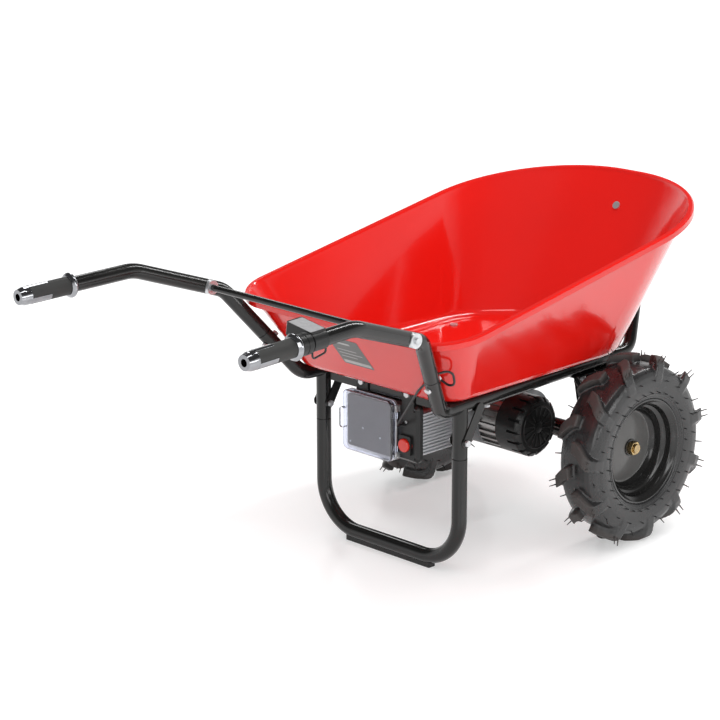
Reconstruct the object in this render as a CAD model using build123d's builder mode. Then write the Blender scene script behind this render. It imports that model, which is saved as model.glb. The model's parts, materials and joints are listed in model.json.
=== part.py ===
from build123d import *
import os
from math import atan, cos, degrees, pi, radians, sin, tan

os.makedirs("parts", exist_ok=True)

# Millimetres; +X forward, +Y to the operator's left, +Z up, floor at z = 0. Lengths called behind or ahead
# are measured from the axle.

# Wheels
wheel_radius = 203.0
track = 594.0
tyre_width = 102.0
lug_height = 18.0
lug_width = 21.0
lug_sweep = 34.0  # how far a lug's shoulder end trails its centre end
lugs_per_side = 11
bead_radius = 101.6
flange_radius = 114.0
rim_width = 84.0
rim_sheet = 3.0
disc_radius = 78.0
disc_inset = 12.5  # edge of the dished disc, inboard of the tyre's mid-plane
hub_dia = 42.0
shaft_dia = 20.0
hub_nut_across = 27.0

# Tub
rim_pitch = 10.09
rim_height = 640.5  # wall's top edge, above the axle
rim_ahead = 352.0
rim_behind = 592.7
rim_half_width = 311.5
rim_front_corner = 290.0
rim_rear_corner = 94.0
floor_ahead = 146.0
floor_behind = 497.0
floor_overhang = 30.0  # floor's outline, outside the rails at the leg
floor_front_corner = 170.0
floor_rear_corner = 66.0
floor_bend = 28.0
floor_bend_turn = 64.0  # degrees from floor to wall
sheet = 1.5
lip_reach = 13.0
lip_rise = 5.0
lip_drop = 9.0

# Frame and handles
rail_dia = 32.0
inner_tube_dia = 28.0  # hoop and drawn-down ends, which go inside the frame tube and the grips
handle_dia = 32.0
seam_gap = 2.0  # left between two tubes at a seam
tube_insert = 50.0
rail_height = 368.0
rail_ahead = 95.0
rail_front_half = 178.0
rail_bend = 45.0
corner_behind = 490.0
leg_behind = 428.0
leg_half_span = 198.0
knee_behind = 633.0
knee_half_span = 284.0
knee_height = 561.0
knee_bend = 48.0
seam_up_riser = 124.0
crest_behind = 848.0
crest_half_span = 316.0
crest_height = 636.0
crest_bend = 105.0
grip_end_behind = 1131.0
grip_end_half_span = 325.0
grip_end_height = 630.0
hoop_foot_ahead = 140.0
hoop_bolt_height = 635.0
hoop_top_half = 73.0
hoop_foot_bend = 52.0
hoop_top_bend = 45.0
crossbar_behind = 674.0
crossbar_dia = 14.0
saddle_dia = 30.0
saddle_depth = 4.0

# Leg
socket_length = 95.0  # leg socket, below the rail
leg_bend = 100.0
leg_bolt_up = 35.0  # above the leg's seam
skid_half_length = 123.0
skid_thickness = 6.0
skid_wrap = 8.0
skid_width = 20.0
skid_corner = 3.0
brace_width = 22.0
brace_sheet = 3.0
brace_reach = 41.0  # along the rail, from the leg to the strap's upper end

# Axle, gearbox and motor
axle_tube_dia = 40.0
axle_tube_end = 235.0
bearing_width = 10.0
bearing_dia = 30.0
hanger_half_span = 194.0
hanger_length = 132.0
hanger_sheet = 4.0
hanger_flange = 36.0
hanger_bolt_pitch = 70.0
case_right = -15.0
case_left = 45.0
case_radius = 66.0
case_wall = 6.0
final_module = 3.0
first_module = 2.0
pinion_teeth = 10
final_teeth = 34
first_teeth = 35
counter_lift = 5.6  # degrees the counter shaft lies above level, seen from the axle
motor_lift = 31.6  # degrees the motor lies above level, seen from the counter shaft
final_width = 12.0
first_width = 10.0
cage_dia = 46.0
gear_shaft_dia = 12.0
motor_radius = 66.0
motor_fin = 6.0
motor_fins = 24
motor_fin_width = 5.0
motor_bore_radius = 54.0
motor_split = -63.0
motor_end = -128.0
motor_end_round = 11.0
cap_wall = 6.0
cap_slots = 16
rotor_radius = 36.0
stator_gap = 1.5

# Battery box
box_half_width = 97.0
box_middle = 12.0  # to the operator's left of the centre plane
box_height = 126.0
box_drop = 44.0  # box's top, below the tub's floor
box_rear_behind = 432.0
box_shell_length = 106.0
shell_inset = 13.0  # shell's top and bottom, inside the end plates'
box_wall = 3.0
box_fin = 4.0
box_fins = 13
end_plate = 15.0
end_plate_edge = 6.0
ear_width = 34.0
ear_sheet = 4.0
ear_pitch = 133.0
channel_height = 36.0
channel_gap = 4.5  # under the tub's floor
channel_sheet = 3.0
cover_right = -26.0
cover_left = 120.0
cover_down = 5.0  # cover's lower edge, below the box's floor
cover_height = 132.5
cover_depth = 13.0
cover_wall = 2.5
cover_frame_depth = 5.0
cover_frame_width = 8.0
hinge_pin_dia = 3.0
hinge_boss_dia = 7.0
hinge_boss_length = 14.0
latch_width = 46.0
latch_reach = 12.0
switch_at = -51.0
switch_up = 37.0  # above the box's floor
bezel_width = 33.0
bezel_length = 42.0
bezel_depth = 6.0
button_dia = 29.0
button_rise = 11.5  # out from the plate's face
button_edge = 2.0
button_travel = 4.0
button_rim = 2.0  # collar that keeps it behind the bezel
button_gap = 0.3
hinge_gap = 0.4
panel_depth = 9.0
gland_at = -45.0
gland_up = 81.5  # above the box's floor
gland_dia = 9.0
gland_length = 8.0

# Controls and lead
grip_length = 118.0
grip_dia = 37.0
crown_dia = 30.0
crown_hole = 15.0
crown_length = 24.0
crown_nose = 12.0  # tapered part
prong_length = 46.0
prong_width = 13.0
ring_dia = 47.0
ring_length = 14.0
housing_dia = 42.0
housing_length = 26.0
control_box_behind = 950.0
control_box_length = 40.0
control_box_width = 66.0
control_box_height = 25.0
control_box_tilt = 10.0
control_collar = 3.0
lead_dia = 5.0
lead_exit_up = 10.0  # along the handle, above the seam
lead_bend = 17.0
loop_dia = 4.0  # short lead from the control box into the handle
loop_drop = 34.0
loop_run = 35.0
loop_bend = 6.0

# Fasteners and fits
bolt_dia = 8.0
bolt_across = 13.0
bolt_head = 5.3
nut_height = 5.0
tub_bolt_head_dia = 18.0
tub_bolt_head = 3.5
tub_bolt_behind = 36.0
tub_rear_bolt_behind = 345.0
tub_washer = 1.5  # rubber, between the tub and the rails
tub_washer_dia = 24.0
running = 0.05  # radial clearance of a turning fit
loose = 1.0

# Derived places
pitch = radians(rim_pitch)
nose = (rim_ahead + lip_reach) * cos(pitch) + lip_drop * sin(pitch)
axle_x = (grip_end_behind - nose) / 2
axle_z = wheel_radius
half_track = track / 2
leg_x = axle_x - leg_behind
rail_r = rail_dia / 2
tube_r = inner_tube_dia / 2
handle_r = handle_dia / 2
rail_front_x = axle_x + rail_ahead
toe = (leg_half_span - rail_front_half) / (rail_front_x - leg_x)
tub_floor = rail_height + rail_r + tub_washer
floor_half_width = leg_half_span + floor_overhang
hanger_top = rail_height - rail_r
seam_height = hanger_top - socket_length
leg_bolt_height = seam_height + leg_bolt_up
channel_top = tub_floor - channel_gap
box_top = tub_floor - box_drop
box_floor = box_top - box_height
cover_floor = box_floor - cover_down
cover_top = cover_floor + cover_height
switch_height = box_floor + switch_up
gland_height = box_floor + gland_up


def rail_y(x):
    return leg_half_span - toe * (x - leg_x)


corner_x = axle_x - corner_behind
corner = Vector(corner_x, rail_y(corner_x), rail_height)
knee = Vector(axle_x - knee_behind, knee_half_span, knee_height)
crest = Vector(axle_x - crest_behind, crest_half_span, crest_height)
grip_end = Vector(axle_x - grip_end_behind, grip_end_half_span, grip_end_height)
rail_front = Vector(rail_front_x, rail_y(rail_front_x), rail_height)
riser = (knee - corner).normalized()
rail_run = (rail_front - corner).normalized()
grip_run = (grip_end - crest).normalized()
seam = corner + riser * seam_up_riser
riser_across = Vector(riser.Z, 0, -riser.X).normalized()  # forward and up, square to the riser

rim_plane = Plane(origin=(axle_x, 0, rim_height), x_dir=(cos(pitch), 0, sin(pitch)),
                  z_dir=(-sin(pitch), 0, cos(pitch)))
floor_plane = Plane(origin=(axle_x, 0, tub_floor))


def bend_ring(skin, turn):
    """How far out and up from the floor's corner the bend lies, at an angle of the bend, on either skin."""
    turn = radians(turn)
    out = (floor_bend - skin) * sin(turn) - floor_bend * tan(radians(floor_bend_turn / 2))
    return out, floor_bend - (floor_bend - skin) * cos(turn)


def wall_line(skin):
    out, rise = bend_ring(skin, floor_bend_turn)
    foot = Vector(axle_x + floor_ahead + out, 0, tub_floor + rise)
    return foot, (rim_plane.from_local_coords(Vector(rim_ahead - skin, 0, 0)) - foot).normalized()


wall_foot, wall_up = wall_line(0)
inner_foot, inner_up = wall_line(sheet)
wall_out = Vector(wall_up.Z, 0, -wall_up.X)
inner_out = Vector(inner_up.Z, 0, -inner_up.X)
wall_bolt = wall_foot + wall_up * ((hoop_bolt_height - wall_foot.Z) / wall_up.Z)
wall_sheet = (wall_bolt - inner_foot).dot(inner_out) / wall_out.dot(inner_out)


def right_of(v):
    return Vector(v.X, -v.Y, v.Z)


# Builders for the forms that recur
def tube(points, radii, dia, sides=0):
    start, across = points[0], None

    def profile(place, run):
        with BuildSketch(Plane(origin=place, x_dir=across, z_dir=run)) as outline:
            if sides:
                RegularPolygon(dia / 2, sides)
            else:
                Circle(dia / 2)
        return outline.sketch

    with BuildPart() as piece:
        for before, here, after, radius in zip(points, points[1:], points[2:], radii):
            run, turn = (here - before).normalized(), (after - here).normalized()
            angle = run.get_angle(turn)
            setback = radius * tan(radians(angle / 2))
            entry = here - run * setback
            hinge = run.cross(turn).normalized()
            across = across or hinge
            extrude(profile(start, run), amount=(entry - start).length)
            revolve(profile(entry, run), axis=Axis(entry + hinge.cross(run) * radius, hinge), revolution_arc=angle)
            start, across = here + turn * setback, across.rotate(Axis((0, 0, 0), hinge), angle)
        extrude(profile(start, points[-1] - start), amount=(points[-1] - start).length)
    return piece.part


def rod(start, end, dia):
    run = end - start
    with BuildPart() as piece:
        with BuildSketch(Plane(origin=start, z_dir=run)):
            Circle(dia / 2)
        extrude(amount=run.length)
    return piece.part


def ring(start, run, outer, inner, length):
    with BuildPart() as piece:
        with BuildSketch(Plane(origin=start, z_dir=run)):
            Circle(outer / 2)
            Circle(inner / 2, mode=Mode.SUBTRACT)
        extrude(amount=length)
    return piece.part


def bolt(seat, out, grip, nut=False):
    with BuildPart() as piece:
        with BuildSketch(Plane(origin=seat, z_dir=out)):
            RegularPolygon(bolt_across / 2, 6, major_radius=False)
        extrude(amount=bolt_head)
        with BuildSketch(Plane(origin=seat, z_dir=out)):
            Circle(bolt_dia / 2)
        extrude(amount=-(grip + (nut_height + loose if nut else 0)))
        if nut:
            with BuildSketch(Plane(origin=seat - out * grip, z_dir=out)):
                RegularPolygon(bolt_across / 2, 6, major_radius=False)
            extrude(amount=-nut_height)
    return piece.part


def dome_bolt(seat, out, grip):
    with BuildPart() as piece:
        with BuildSketch(Plane(origin=seat, z_dir=out)):
            Circle(tub_bolt_head_dia / 2)
        extrude(amount=tub_bolt_head)
        with BuildSketch(Plane(origin=seat, z_dir=out)):
            Circle(bolt_dia / 2)
        extrude(amount=-(grip + nut_height + loose))
        with BuildSketch(Plane(origin=seat - out * grip, z_dir=out)):
            RegularPolygon(bolt_across / 2, 6, major_radius=False)
        extrude(amount=-nut_height)
    return piece.part


def drill(start, run, dia, depth):
    with Locations(Plane(origin=start, z_dir=run)):
        Cylinder(dia / 2, depth, align=(Align.CENTER, Align.CENTER, Align.MIN), mode=Mode.SUBTRACT)


def mirrored(part):
    with BuildPart() as piece:
        mirror(part, about=Plane.XZ)
    return piece.part


def save(part, label):
    part.label = label
    export_step(part, f"parts/{label}.step")


# Left wheel, about an axis along Y; the right one is its mirror image
wheel_middle = Vector(axle_x, half_track, axle_z)
wheel_axis = Axis((axle_x, 0, axle_z), (0, 1, 0))
wheel_section = Plane(origin=wheel_middle, x_dir=(0, 1, 0), z_dir=(1, 0, 0))
bead_half = rim_width / 2 - rim_sheet
side_half = tyre_width / 2 - 1
crown_radius = wheel_radius - lug_height
crown_half = side_half * 0.68
hub_outer = 1.0
hub_inner = -50.0
well_radius = bead_radius - rim_sheet
well_step = rim_width / 5
dish_radius = (well_radius + disc_radius) / 2

with BuildPart() as rim_left:
    with BuildSketch(wheel_section):
        with BuildLine():
            Polyline(
                (-rim_width / 2, flange_radius), (-bead_half, flange_radius), (-bead_half, bead_radius),
                (bead_half, bead_radius), (bead_half, flange_radius), (rim_width / 2, flange_radius),
                (rim_width / 2, well_radius), (well_step, well_radius), (well_step, dish_radius), (0, dish_radius),
                (-disc_inset, disc_radius), (hub_outer - loose, hub_dia / 2), (hub_outer, hub_dia / 2),
                (hub_outer, shaft_dia / 2), (hub_inner, shaft_dia / 2), (hub_inner, hub_dia / 2),
                (hub_outer - loose - rim_sheet, hub_dia / 2), (-disc_inset - rim_sheet, disc_radius),
                (-disc_inset - rim_sheet, well_radius),
                (-rim_width / 2, well_radius), close=True)
        make_face()
    revolve(axis=wheel_axis)

# Lugs: slanted footprints raised from the carcass and trimmed to one turned envelope
lug_step = 360 / lugs_per_side
lug_base = crown_radius - 24


def lug_planes(shift):
    return [Plane(origin=wheel_middle, x_dir=(0, 1, 0), z_dir=(sin(radians(a)), 0, cos(radians(a)))).offset(lug_base)
            for a in (180 + lug_step * (k + shift) for k in range(lugs_per_side))]


def lug_foot(side):
    half = lug_width / 2
    return [(side * 1.5, -half), (side * (side_half + 6), -half + lug_sweep),
            (side * (side_half + 6), half + lug_sweep), (side * 1.5, half)]


with BuildPart() as lugs:
    for side, shift in ((1, 0), (-1, 0.5)):
        with BuildSketch(*lug_planes(shift)):
            Polygon(*lug_foot(side), align=None)
        extrude(amount=wheel_radius - lug_base + 6)
    with BuildSketch(wheel_section):
        with BuildLine():
            Polyline((-side_half + 1, lug_base), (-side_half - 1, lug_base + 6), (-side_half + 1, wheel_radius - 14),
                     (-side_half + 9, wheel_radius), (side_half - 9, wheel_radius),
                     (side_half - 1, wheel_radius - 14), (side_half + 1, lug_base + 6),
                     (side_half - 1, lug_base), close=True)
        make_face()
    revolve(axis=wheel_axis, mode=Mode.INTERSECT)

with BuildPart() as tyre_left:
    with BuildSketch(wheel_section):
        with BuildLine():
            Polyline((-bead_half, bead_radius), (-bead_half, flange_radius + 1),
                     (-side_half, flange_radius + 26), (-side_half, lug_base - 1), (-crown_half, crown_radius),
                     (crown_half, crown_radius), (side_half, lug_base - 1), (side_half, flange_radius + 26),
                     (bead_half, flange_radius + 1), (bead_half, bead_radius), close=True)
        make_face()
    revolve(axis=wheel_axis)
    add(lugs.part)

cage_middle = (case_right + case_left) / 2
cage_half = (case_left - case_right) / 2 - case_wall - loose
shaft_end = half_track + hub_outer + 20.0
half_shaft_left = rod(Vector(axle_x, cage_middle + 2, axle_z), Vector(axle_x, shaft_end, axle_z), shaft_dia)
half_shaft_right = rod(Vector(axle_x, cage_middle - 2, axle_z), Vector(axle_x, -shaft_end, axle_z), shaft_dia)

hub_face = Plane(origin=(axle_x, half_track + hub_outer, axle_z), x_dir=(1, 0, 0), z_dir=(0, 1, 0))
with BuildPart() as hub_nut_left:
    with BuildSketch(hub_face):
        Circle(hub_nut_across / 2 + 5)
        Circle(shaft_dia / 2, mode=Mode.SUBTRACT)
    extrude(amount=3)
    with BuildSketch(hub_face.offset(3)):
        RegularPolygon(hub_nut_across / 2, 6, major_radius=False)
        Circle(shaft_dia / 2, mode=Mode.SUBTRACT)
    extrude(amount=12)

for label, part in (("rim", rim_left.part), ("tyre", tyre_left.part), ("hub_nut", hub_nut_left.part)):
    right = mirrored(part)
    save(part, f"{label}_left")
    save(right, f"{label}_right")
save(half_shaft_left, "half_shaft_left")
save(half_shaft_right, "half_shaft_right")


# Tub: ruled walls from floor to rim, a bend all round the floor, and a lip turned over and down
def tub_outline(plane, ahead, behind, half_width, front_corner, rear_corner):
    with BuildSketch(plane) as outline:
        with Locations(((ahead - behind) / 2, 0)):
            Rectangle(ahead + behind, 2 * half_width)
        fillet(outline.vertices().group_by(Axis.X)[-1], front_corner)
        fillet(outline.vertices().group_by(Axis.X)[0], rear_corner)
    return outline.sketch


def tub_sections(skin):
    rings = []
    for turn in (0, floor_bend_turn / 3, floor_bend_turn * 2 / 3, floor_bend_turn):
        out, rise = bend_ring(skin, turn)
        rings.append(tub_outline(floor_plane.offset(rise), floor_ahead + out, floor_behind + out,
                                 floor_half_width + out, floor_front_corner + out, floor_rear_corner + out))
    rings.append(tub_outline(rim_plane, rim_ahead - skin, rim_behind - skin, rim_half_width - skin,
                             rim_front_corner - skin, rim_rear_corner - skin))
    return rings


tub_seats = [Vector(axle_x - behind, side * rail_y(axle_x - behind), tub_floor + sheet)
             for behind in (tub_bolt_behind, tub_rear_bolt_behind) for side in (1, -1)]
lip = [(-sheet, -3), (-sheet, 1), (1.5, lip_rise), (lip_reach - 3, lip_rise), (lip_reach, lip_rise - 3),
       (lip_reach, -lip_drop), (lip_reach - sheet, -lip_drop), (lip_reach - sheet, lip_rise - 3.7),
       (lip_reach - 3.7, lip_rise - sheet), (2.3, lip_rise - sheet), (0.1, 0.5), (0.1, -3)]
rim_outline = tub_outline(rim_plane, rim_ahead, rim_behind, rim_half_width, rim_front_corner, rim_rear_corner)
lip_path = rim_outline.face().outer_wire()
lip_out = (lip_path % 0).cross(rim_plane.z_dir)
with BuildPart() as tub:
    loft(tub_sections(0), ruled=True)
    loft(tub_sections(sheet), ruled=True, mode=Mode.SUBTRACT)
    with BuildSketch(Plane(origin=lip_path @ 0, x_dir=lip_out, z_dir=lip_out.cross(rim_plane.z_dir))):
        Polygon(*lip, align=None)
    sweep(path=lip_path)
    for seat in tub_seats:
        drill(seat, Vector(0, 0, -1), bolt_dia, 3 * sheet)
    drill(wall_bolt - wall_out * 20, wall_out, bolt_dia, 40)
save(tub.part, "tub")

# Frame: the bent rails, with the hoop and the handle tubes pushed into their ends
rail_full = tube((seam, corner, rail_front), [rail_bend], rail_dia)
hoop_top = wall_bolt + wall_out * tube_r
hoop_foot_x = axle_x + hoop_foot_ahead
hoop_side = [rail_front - rail_run * tube_insert, Vector(hoop_foot_x, rail_y(hoop_foot_x), rail_height),
             Vector(hoop_top.X, hoop_top_half, hoop_top.Z)]
front_hoop_full = tube(hoop_side + [right_of(v) for v in reversed(hoop_side)],
                       [hoop_foot_bend, hoop_top_bend, hoop_top_bend, hoop_foot_bend], inner_tube_dia)
tube_end = grip_end - grip_run * (crown_length + loose)
handle_plain = tube((seam, knee, crest, tube_end), [knee_bend, crest_bend], handle_dia)
housing_start = grip_length + ring_length + loose / 2
riser_bolt = seam - riser * tube_insert * 0.4
crossbar_t = (crossbar_behind - knee_behind) / (crest_behind - knee_behind)
crossbar_at = knee + (crest - knee) * crossbar_t
hanger_bolt_x = axle_x - tub_bolt_behind + hanger_bolt_pitch
hanger_seats = [Vector(hanger_bolt_x, side * rail_y(hanger_bolt_x), hanger_top - hanger_sheet) for side in (1, -1)]
lead_out = Vector(0.733, -0.621, 0.273)  # forward and outboard, then squared to the right riser
lead_out = (lead_out - right_of(riser) * lead_out.dot(right_of(riser))).normalized()
lead_side = right_of(riser).cross(lead_out)


def by_riser(along, side, out):
    return right_of(seam + riser * along) + lead_side * side + lead_out * out


lead_exit = by_riser(lead_exit_up, 0, 0)
down, up = Vector(0, 0, -1), Vector(0, 0, 1)

with BuildPart() as rail_left:
    add(rail_full)
    drill(seam, riser * -1, inner_tube_dia, tube_insert)
    drill(rail_front, rail_run * -1, inner_tube_dia, tube_insert)
    drill(riser_bolt - riser_across * rail_dia, riser_across, bolt_dia, 2 * rail_dia)
    for seat in tub_seats[::2]:
        drill(seat, down, bolt_dia, 2 * rail_dia)
    drill(hanger_seats[0], up, bolt_dia, hanger_sheet + rail_r)
save(rail_left.part, "rail_left")
save(mirrored(rail_left.part), "rail_right")

with BuildPart() as front_hoop:
    add(front_hoop_full)
    drill(wall_bolt - wall_out, wall_out, bolt_dia, inner_tube_dia + 2)
save(front_hoop.part, "front_hoop")



def handle_tube(neck):
    shoulder = grip_end - grip_run * neck
    with BuildPart() as piece:
        add(tube((seam + riser * seam_gap, knee, crest, shoulder), [knee_bend, crest_bend], handle_dia))
        for start, end in ((seam - riser * tube_insert, seam + riser * 2 * seam_gap), (shoulder - grip_run, tube_end)):
            add(rod(start, end, inner_tube_dia))
        drill(riser_bolt - riser_across * rail_dia, riser_across, bolt_dia, 2 * rail_dia)
        drill(crossbar_at - Vector(0, rail_dia, 0), Vector(0, 1, 0), bolt_dia, 2 * rail_dia)
    return piece.part


handle_right_plain = mirrored(handle_tube(housing_start + housing_length))
with BuildPart() as handle_right:
    add(handle_right_plain)
    drill(lead_exit, lead_out, lead_dia, rail_dia)
save(handle_tube(grip_length + ring_length), "handle_tube_left")
save(handle_right.part, "handle_tube_right")

# Crossbar: a thin rod held between saddle cups that follow the handle tubes
saddle_reach = handle_r + saddle_depth
inner_end = crossbar_at - Vector(0, saddle_reach, 0)
with BuildPart() as crossbar:
    add(rod(inner_end, right_of(inner_end), crossbar_dia))
    for start, run in ((inner_end, Vector(0, -1, 0)), (right_of(inner_end), Vector(0, 1, 0))):
        drill(start, run, bolt_dia, 12)
save(crossbar.part, "crossbar")

with BuildPart() as saddle_pair:
    with BuildSketch(Plane(origin=inner_end, x_dir=(1, 0, 0), z_dir=(0, 1, 0))):
        Circle(saddle_dia / 2)
    extrude(amount=2 * saddle_reach, taper=0)
    add(handle_plain, mode=Mode.SUBTRACT)
    drill(inner_end, Vector(0, 1, 0), bolt_dia, 2 * saddle_reach)
with BuildPart() as crossbar_saddles:
    add(saddle_pair.part)
    mirror(saddle_pair.part, about=Plane.XZ)
save(crossbar_saddles.part, "crossbar_saddles")

with BuildPart() as handle_bolts:
    add(bolt(riser_bolt - riser_across * rail_r, riser_across * -1, rail_dia, nut=True))
    add(bolt(crossbar_at + Vector(0, saddle_reach, 0), Vector(0, 1, 0), 2 * saddle_reach + 12))
    mirror(about=Plane.XZ)
save(handle_bolts.part, "handle_bolts")

with BuildPart() as tub_bolts:
    for seat, under in zip(tub_seats, (hanger_sheet, hanger_sheet, 0, 0)):
        add(dome_bolt(seat, up, sheet + tub_washer + rail_dia + under))
    add(dome_bolt(wall_bolt - wall_out * wall_sheet, wall_out * -1, wall_sheet + inner_tube_dia))
save(tub_bolts.part, "tub_bolts")

with BuildPart() as tub_washers:
    for seat in tub_seats:
        add(ring(seat - up * sheet, down, tub_washer_dia, bolt_dia, tub_washer))
save(tub_washers.part, "tub_washers")

# Leg: sockets welded under the rails, a U-shaped tube on spigots, strap braces and a skid
leg_insert = socket_length * 0.65
leg_foot = skid_thickness + rail_r
leg_top_left = Vector(leg_x, leg_half_span, seam_height)
leg_bolt_left = Vector(leg_x, leg_half_span, leg_bolt_height)
side_y = Vector(0, 1, 0)

with BuildPart() as leg_socket_left:
    add(rod(leg_top_left, Vector(leg_x, leg_half_span, rail_height), rail_dia))
    add(rail_full, mode=Mode.SUBTRACT)
    drill(leg_top_left, up, inner_tube_dia, leg_insert)
    drill(leg_bolt_left - side_y * rail_dia, side_y, bolt_dia, 2 * rail_dia)
save(leg_socket_left.part, "leg_socket_left")
save(mirrored(leg_socket_left.part), "leg_socket_right")

leg_low = Vector(leg_x, leg_half_span, leg_foot)
leg_shoulder = leg_top_left - up * seam_gap
with BuildPart() as u_leg:
    add(tube((leg_shoulder, leg_low, right_of(leg_low), right_of(leg_shoulder)), [leg_bend, leg_bend], rail_dia))
    for top in (leg_top_left, right_of(leg_top_left)):
        add(rod(top - up * 2 * seam_gap, top + up * leg_insert, inner_tube_dia))
    drill(right_of(leg_bolt_left) - side_y * rail_dia, side_y, bolt_dia, 2 * (leg_half_span + rail_dia))
save(u_leg.part, "u_leg")

brace_top_x = leg_x + brace_reach
brace_top = hanger_top + brace_width * 0.28
with BuildPart() as brace_pair:
    for offset in (rail_r, -rail_r - brace_sheet):
        with BuildSketch(Plane(origin=(0, leg_half_span + offset, 0), x_dir=(1, 0, 0), z_dir=(0, 1, 0))):
            with BuildLine():
                CenterArc((leg_x, -leg_bolt_height), brace_width / 2, 0, 360)
                CenterArc((brace_top_x, -brace_top), brace_width / 2, 0, 360)
            make_hull()
        extrude(amount=brace_sheet)
    with Locations((brace_top_x, leg_half_span, hanger_top - brace_sheet / 2)):
        Box(brace_width * 0.7, rail_dia + 2 * brace_sheet, brace_sheet)
    add(rail_full, mode=Mode.SUBTRACT)
    drill(leg_bolt_left - side_y * rail_dia, side_y, bolt_dia, 2 * rail_dia)
with BuildPart() as leg_braces:
    add(brace_pair.part)
    mirror(brace_pair.part, about=Plane.XZ)
save(leg_braces.part, "leg_braces")

with BuildPart() as leg_bolts:
    add(bolt(leg_bolt_left + side_y * (rail_r + brace_sheet), side_y, rail_dia + 2 * brace_sheet, nut=True))
    mirror(about=Plane.XZ)
save(leg_bolts.part, "leg_bolts")

with BuildPart() as foot_skid:
    with BuildSketch(Plane(origin=(leg_x, 0, 0))):
        RectangleRounded(skid_width, 2 * skid_half_length, skid_corner)
    extrude(amount=skid_thickness + skid_wrap)
    add(u_leg.part, mode=Mode.SUBTRACT)
save(foot_skid.part, "foot_skid")


# Axle: tubes from the gearbox to the hubs, carried by hanger plates under the rails
def axle_point(y):
    return Vector(axle_x, y, axle_z)


save(ring(axle_point(case_left), side_y, axle_tube_dia, bearing_dia, axle_tube_end - case_left), "axle_tube_left")
save(ring(axle_point(case_right), side_y * -1, axle_tube_dia, bearing_dia, axle_tube_end + case_right),
     "axle_tube_right")
with BuildPart() as shaft_bearings:
    for y in (case_left, axle_tube_end - bearing_width, case_right - bearing_width, -axle_tube_end):
        add(ring(axle_point(y), side_y, bearing_dia, shaft_dia + 2 * running, bearing_width))
save(shaft_bearings.part, "shaft_bearings")

with BuildPart() as axle_hanger_left:
    with BuildSketch(Plane(origin=(axle_x, hanger_half_span - hanger_sheet / 2, 0), x_dir=(1, 0, 0), z_dir=(0, 1, 0))):
        with BuildLine():
            CenterArc((0, -axle_z), axle_tube_dia / 2 + 12, 0, 360)
            Line((-hanger_length / 2, -hanger_top), (hanger_length / 2, -hanger_top))
        make_hull()
        with Locations((0, -axle_z)):
            Circle(axle_tube_dia / 2, mode=Mode.SUBTRACT)
    extrude(amount=hanger_sheet)
    with Locations((axle_x, rail_y(axle_x), hanger_top - hanger_sheet / 2)):
        Box(hanger_length, hanger_flange, hanger_sheet)
    drill(hanger_seats[0] - up, up, bolt_dia, 2 * hanger_sheet)
    drill(tub_seats[0] - up * 2 * rail_dia, up, bolt_dia, 2 * rail_dia)
save(axle_hanger_left.part, "axle_hanger_left")
save(mirrored(axle_hanger_left.part), "axle_hanger_right")

with BuildPart() as hanger_bolts:
    for seat in hanger_seats:
        add(bolt(seat, down, hanger_sheet + rail_r))
save(hanger_bolts.part, "hanger_bolts")

# Gear train: motor pinion, counter shaft and final gear, in one vertical plane each
final_run = final_module * (pinion_teeth + final_teeth) / 2
first_run = first_module * (pinion_teeth + first_teeth) / 2
counter_x = axle_x - final_run * cos(radians(counter_lift))
counter_z = axle_z + final_run * sin(radians(counter_lift))
motor_x = counter_x - first_run * cos(radians(motor_lift))
motor_z = counter_z + first_run * sin(radians(motor_lift))
case_floor = case_right + case_wall
final_at = case_floor + 4 * loose
first_at = final_at + final_width + 6 * loose


def turned(x, y, z):
    return Plane(origin=(x, y, z), x_dir=(1, 0, 0), z_dir=(0, 1, 0))


def teeth(count, module, facing):
    step = 2 * pi / count
    return [((module * count / 2 + radius * module) * cos(facing + step * (k + turn)),
             (module * count / 2 + radius * module) * sin(facing + step * (k + turn)))
            for k in range(count) for radius, turn in ((-1.25, -0.26), (1, -0.1), (1, 0.1), (-1.25, 0.26))]


to_axle = radians(counter_lift)
to_counter = radians(motor_lift)

with BuildPart() as final_gear:
    with BuildSketch(turned(axle_x, final_at, axle_z)):
        Polygon(*teeth(final_teeth, final_module, to_axle + pi + pi / final_teeth), align=None)
    extrude(amount=final_width)
    with BuildSketch(turned(axle_x, cage_middle - cage_half, axle_z)):
        Circle(cage_dia / 2)
    extrude(amount=2 * cage_half)
    drill(axle_point(cage_middle - cage_half - 1), side_y, shaft_dia + 2 * running, 2 * cage_half + 2)
save(final_gear.part, "final_gear")

counter_foot = Vector(counter_x, case_floor - case_wall / 2 + loose / 2, counter_z)
counter_head = Vector(counter_x, case_left - case_wall / 2 - loose / 2, counter_z)
with BuildPart() as counter_gear:
    add(rod(counter_foot, counter_head, gear_shaft_dia))
    with BuildSketch(turned(counter_x, final_at - loose, counter_z)):
        Polygon(*teeth(pinion_teeth, final_module, to_axle), align=None)
    extrude(amount=final_width + 2 * loose)
    with BuildSketch(turned(counter_x, first_at, counter_z)):
        Polygon(*teeth(first_teeth, first_module, to_counter + pi + pi / first_teeth), align=None)
    extrude(amount=first_width)
save(counter_gear.part, "counter_gear")

cap_floor = motor_end + cap_wall
motor_foot = Vector(motor_x, motor_end + cap_wall / 2 + loose / 2, motor_z)
motor_head = Vector(motor_x, first_at + first_width + loose, motor_z)
core_start = cap_floor + 18
core_length = case_right - 12 - core_start
with BuildPart() as motor_rotor:
    add(rod(motor_foot, motor_head, gear_shaft_dia))
    with BuildSketch(turned(motor_x, core_start, motor_z)):
        Circle(rotor_radius)
    extrude(amount=core_length)
    with BuildSketch(turned(motor_x, first_at - loose, motor_z)):
        Polygon(*teeth(pinion_teeth, first_module, to_counter), align=None)
    extrude(amount=first_width + 2 * loose)
save(motor_rotor.part, "motor_rotor")


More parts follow.
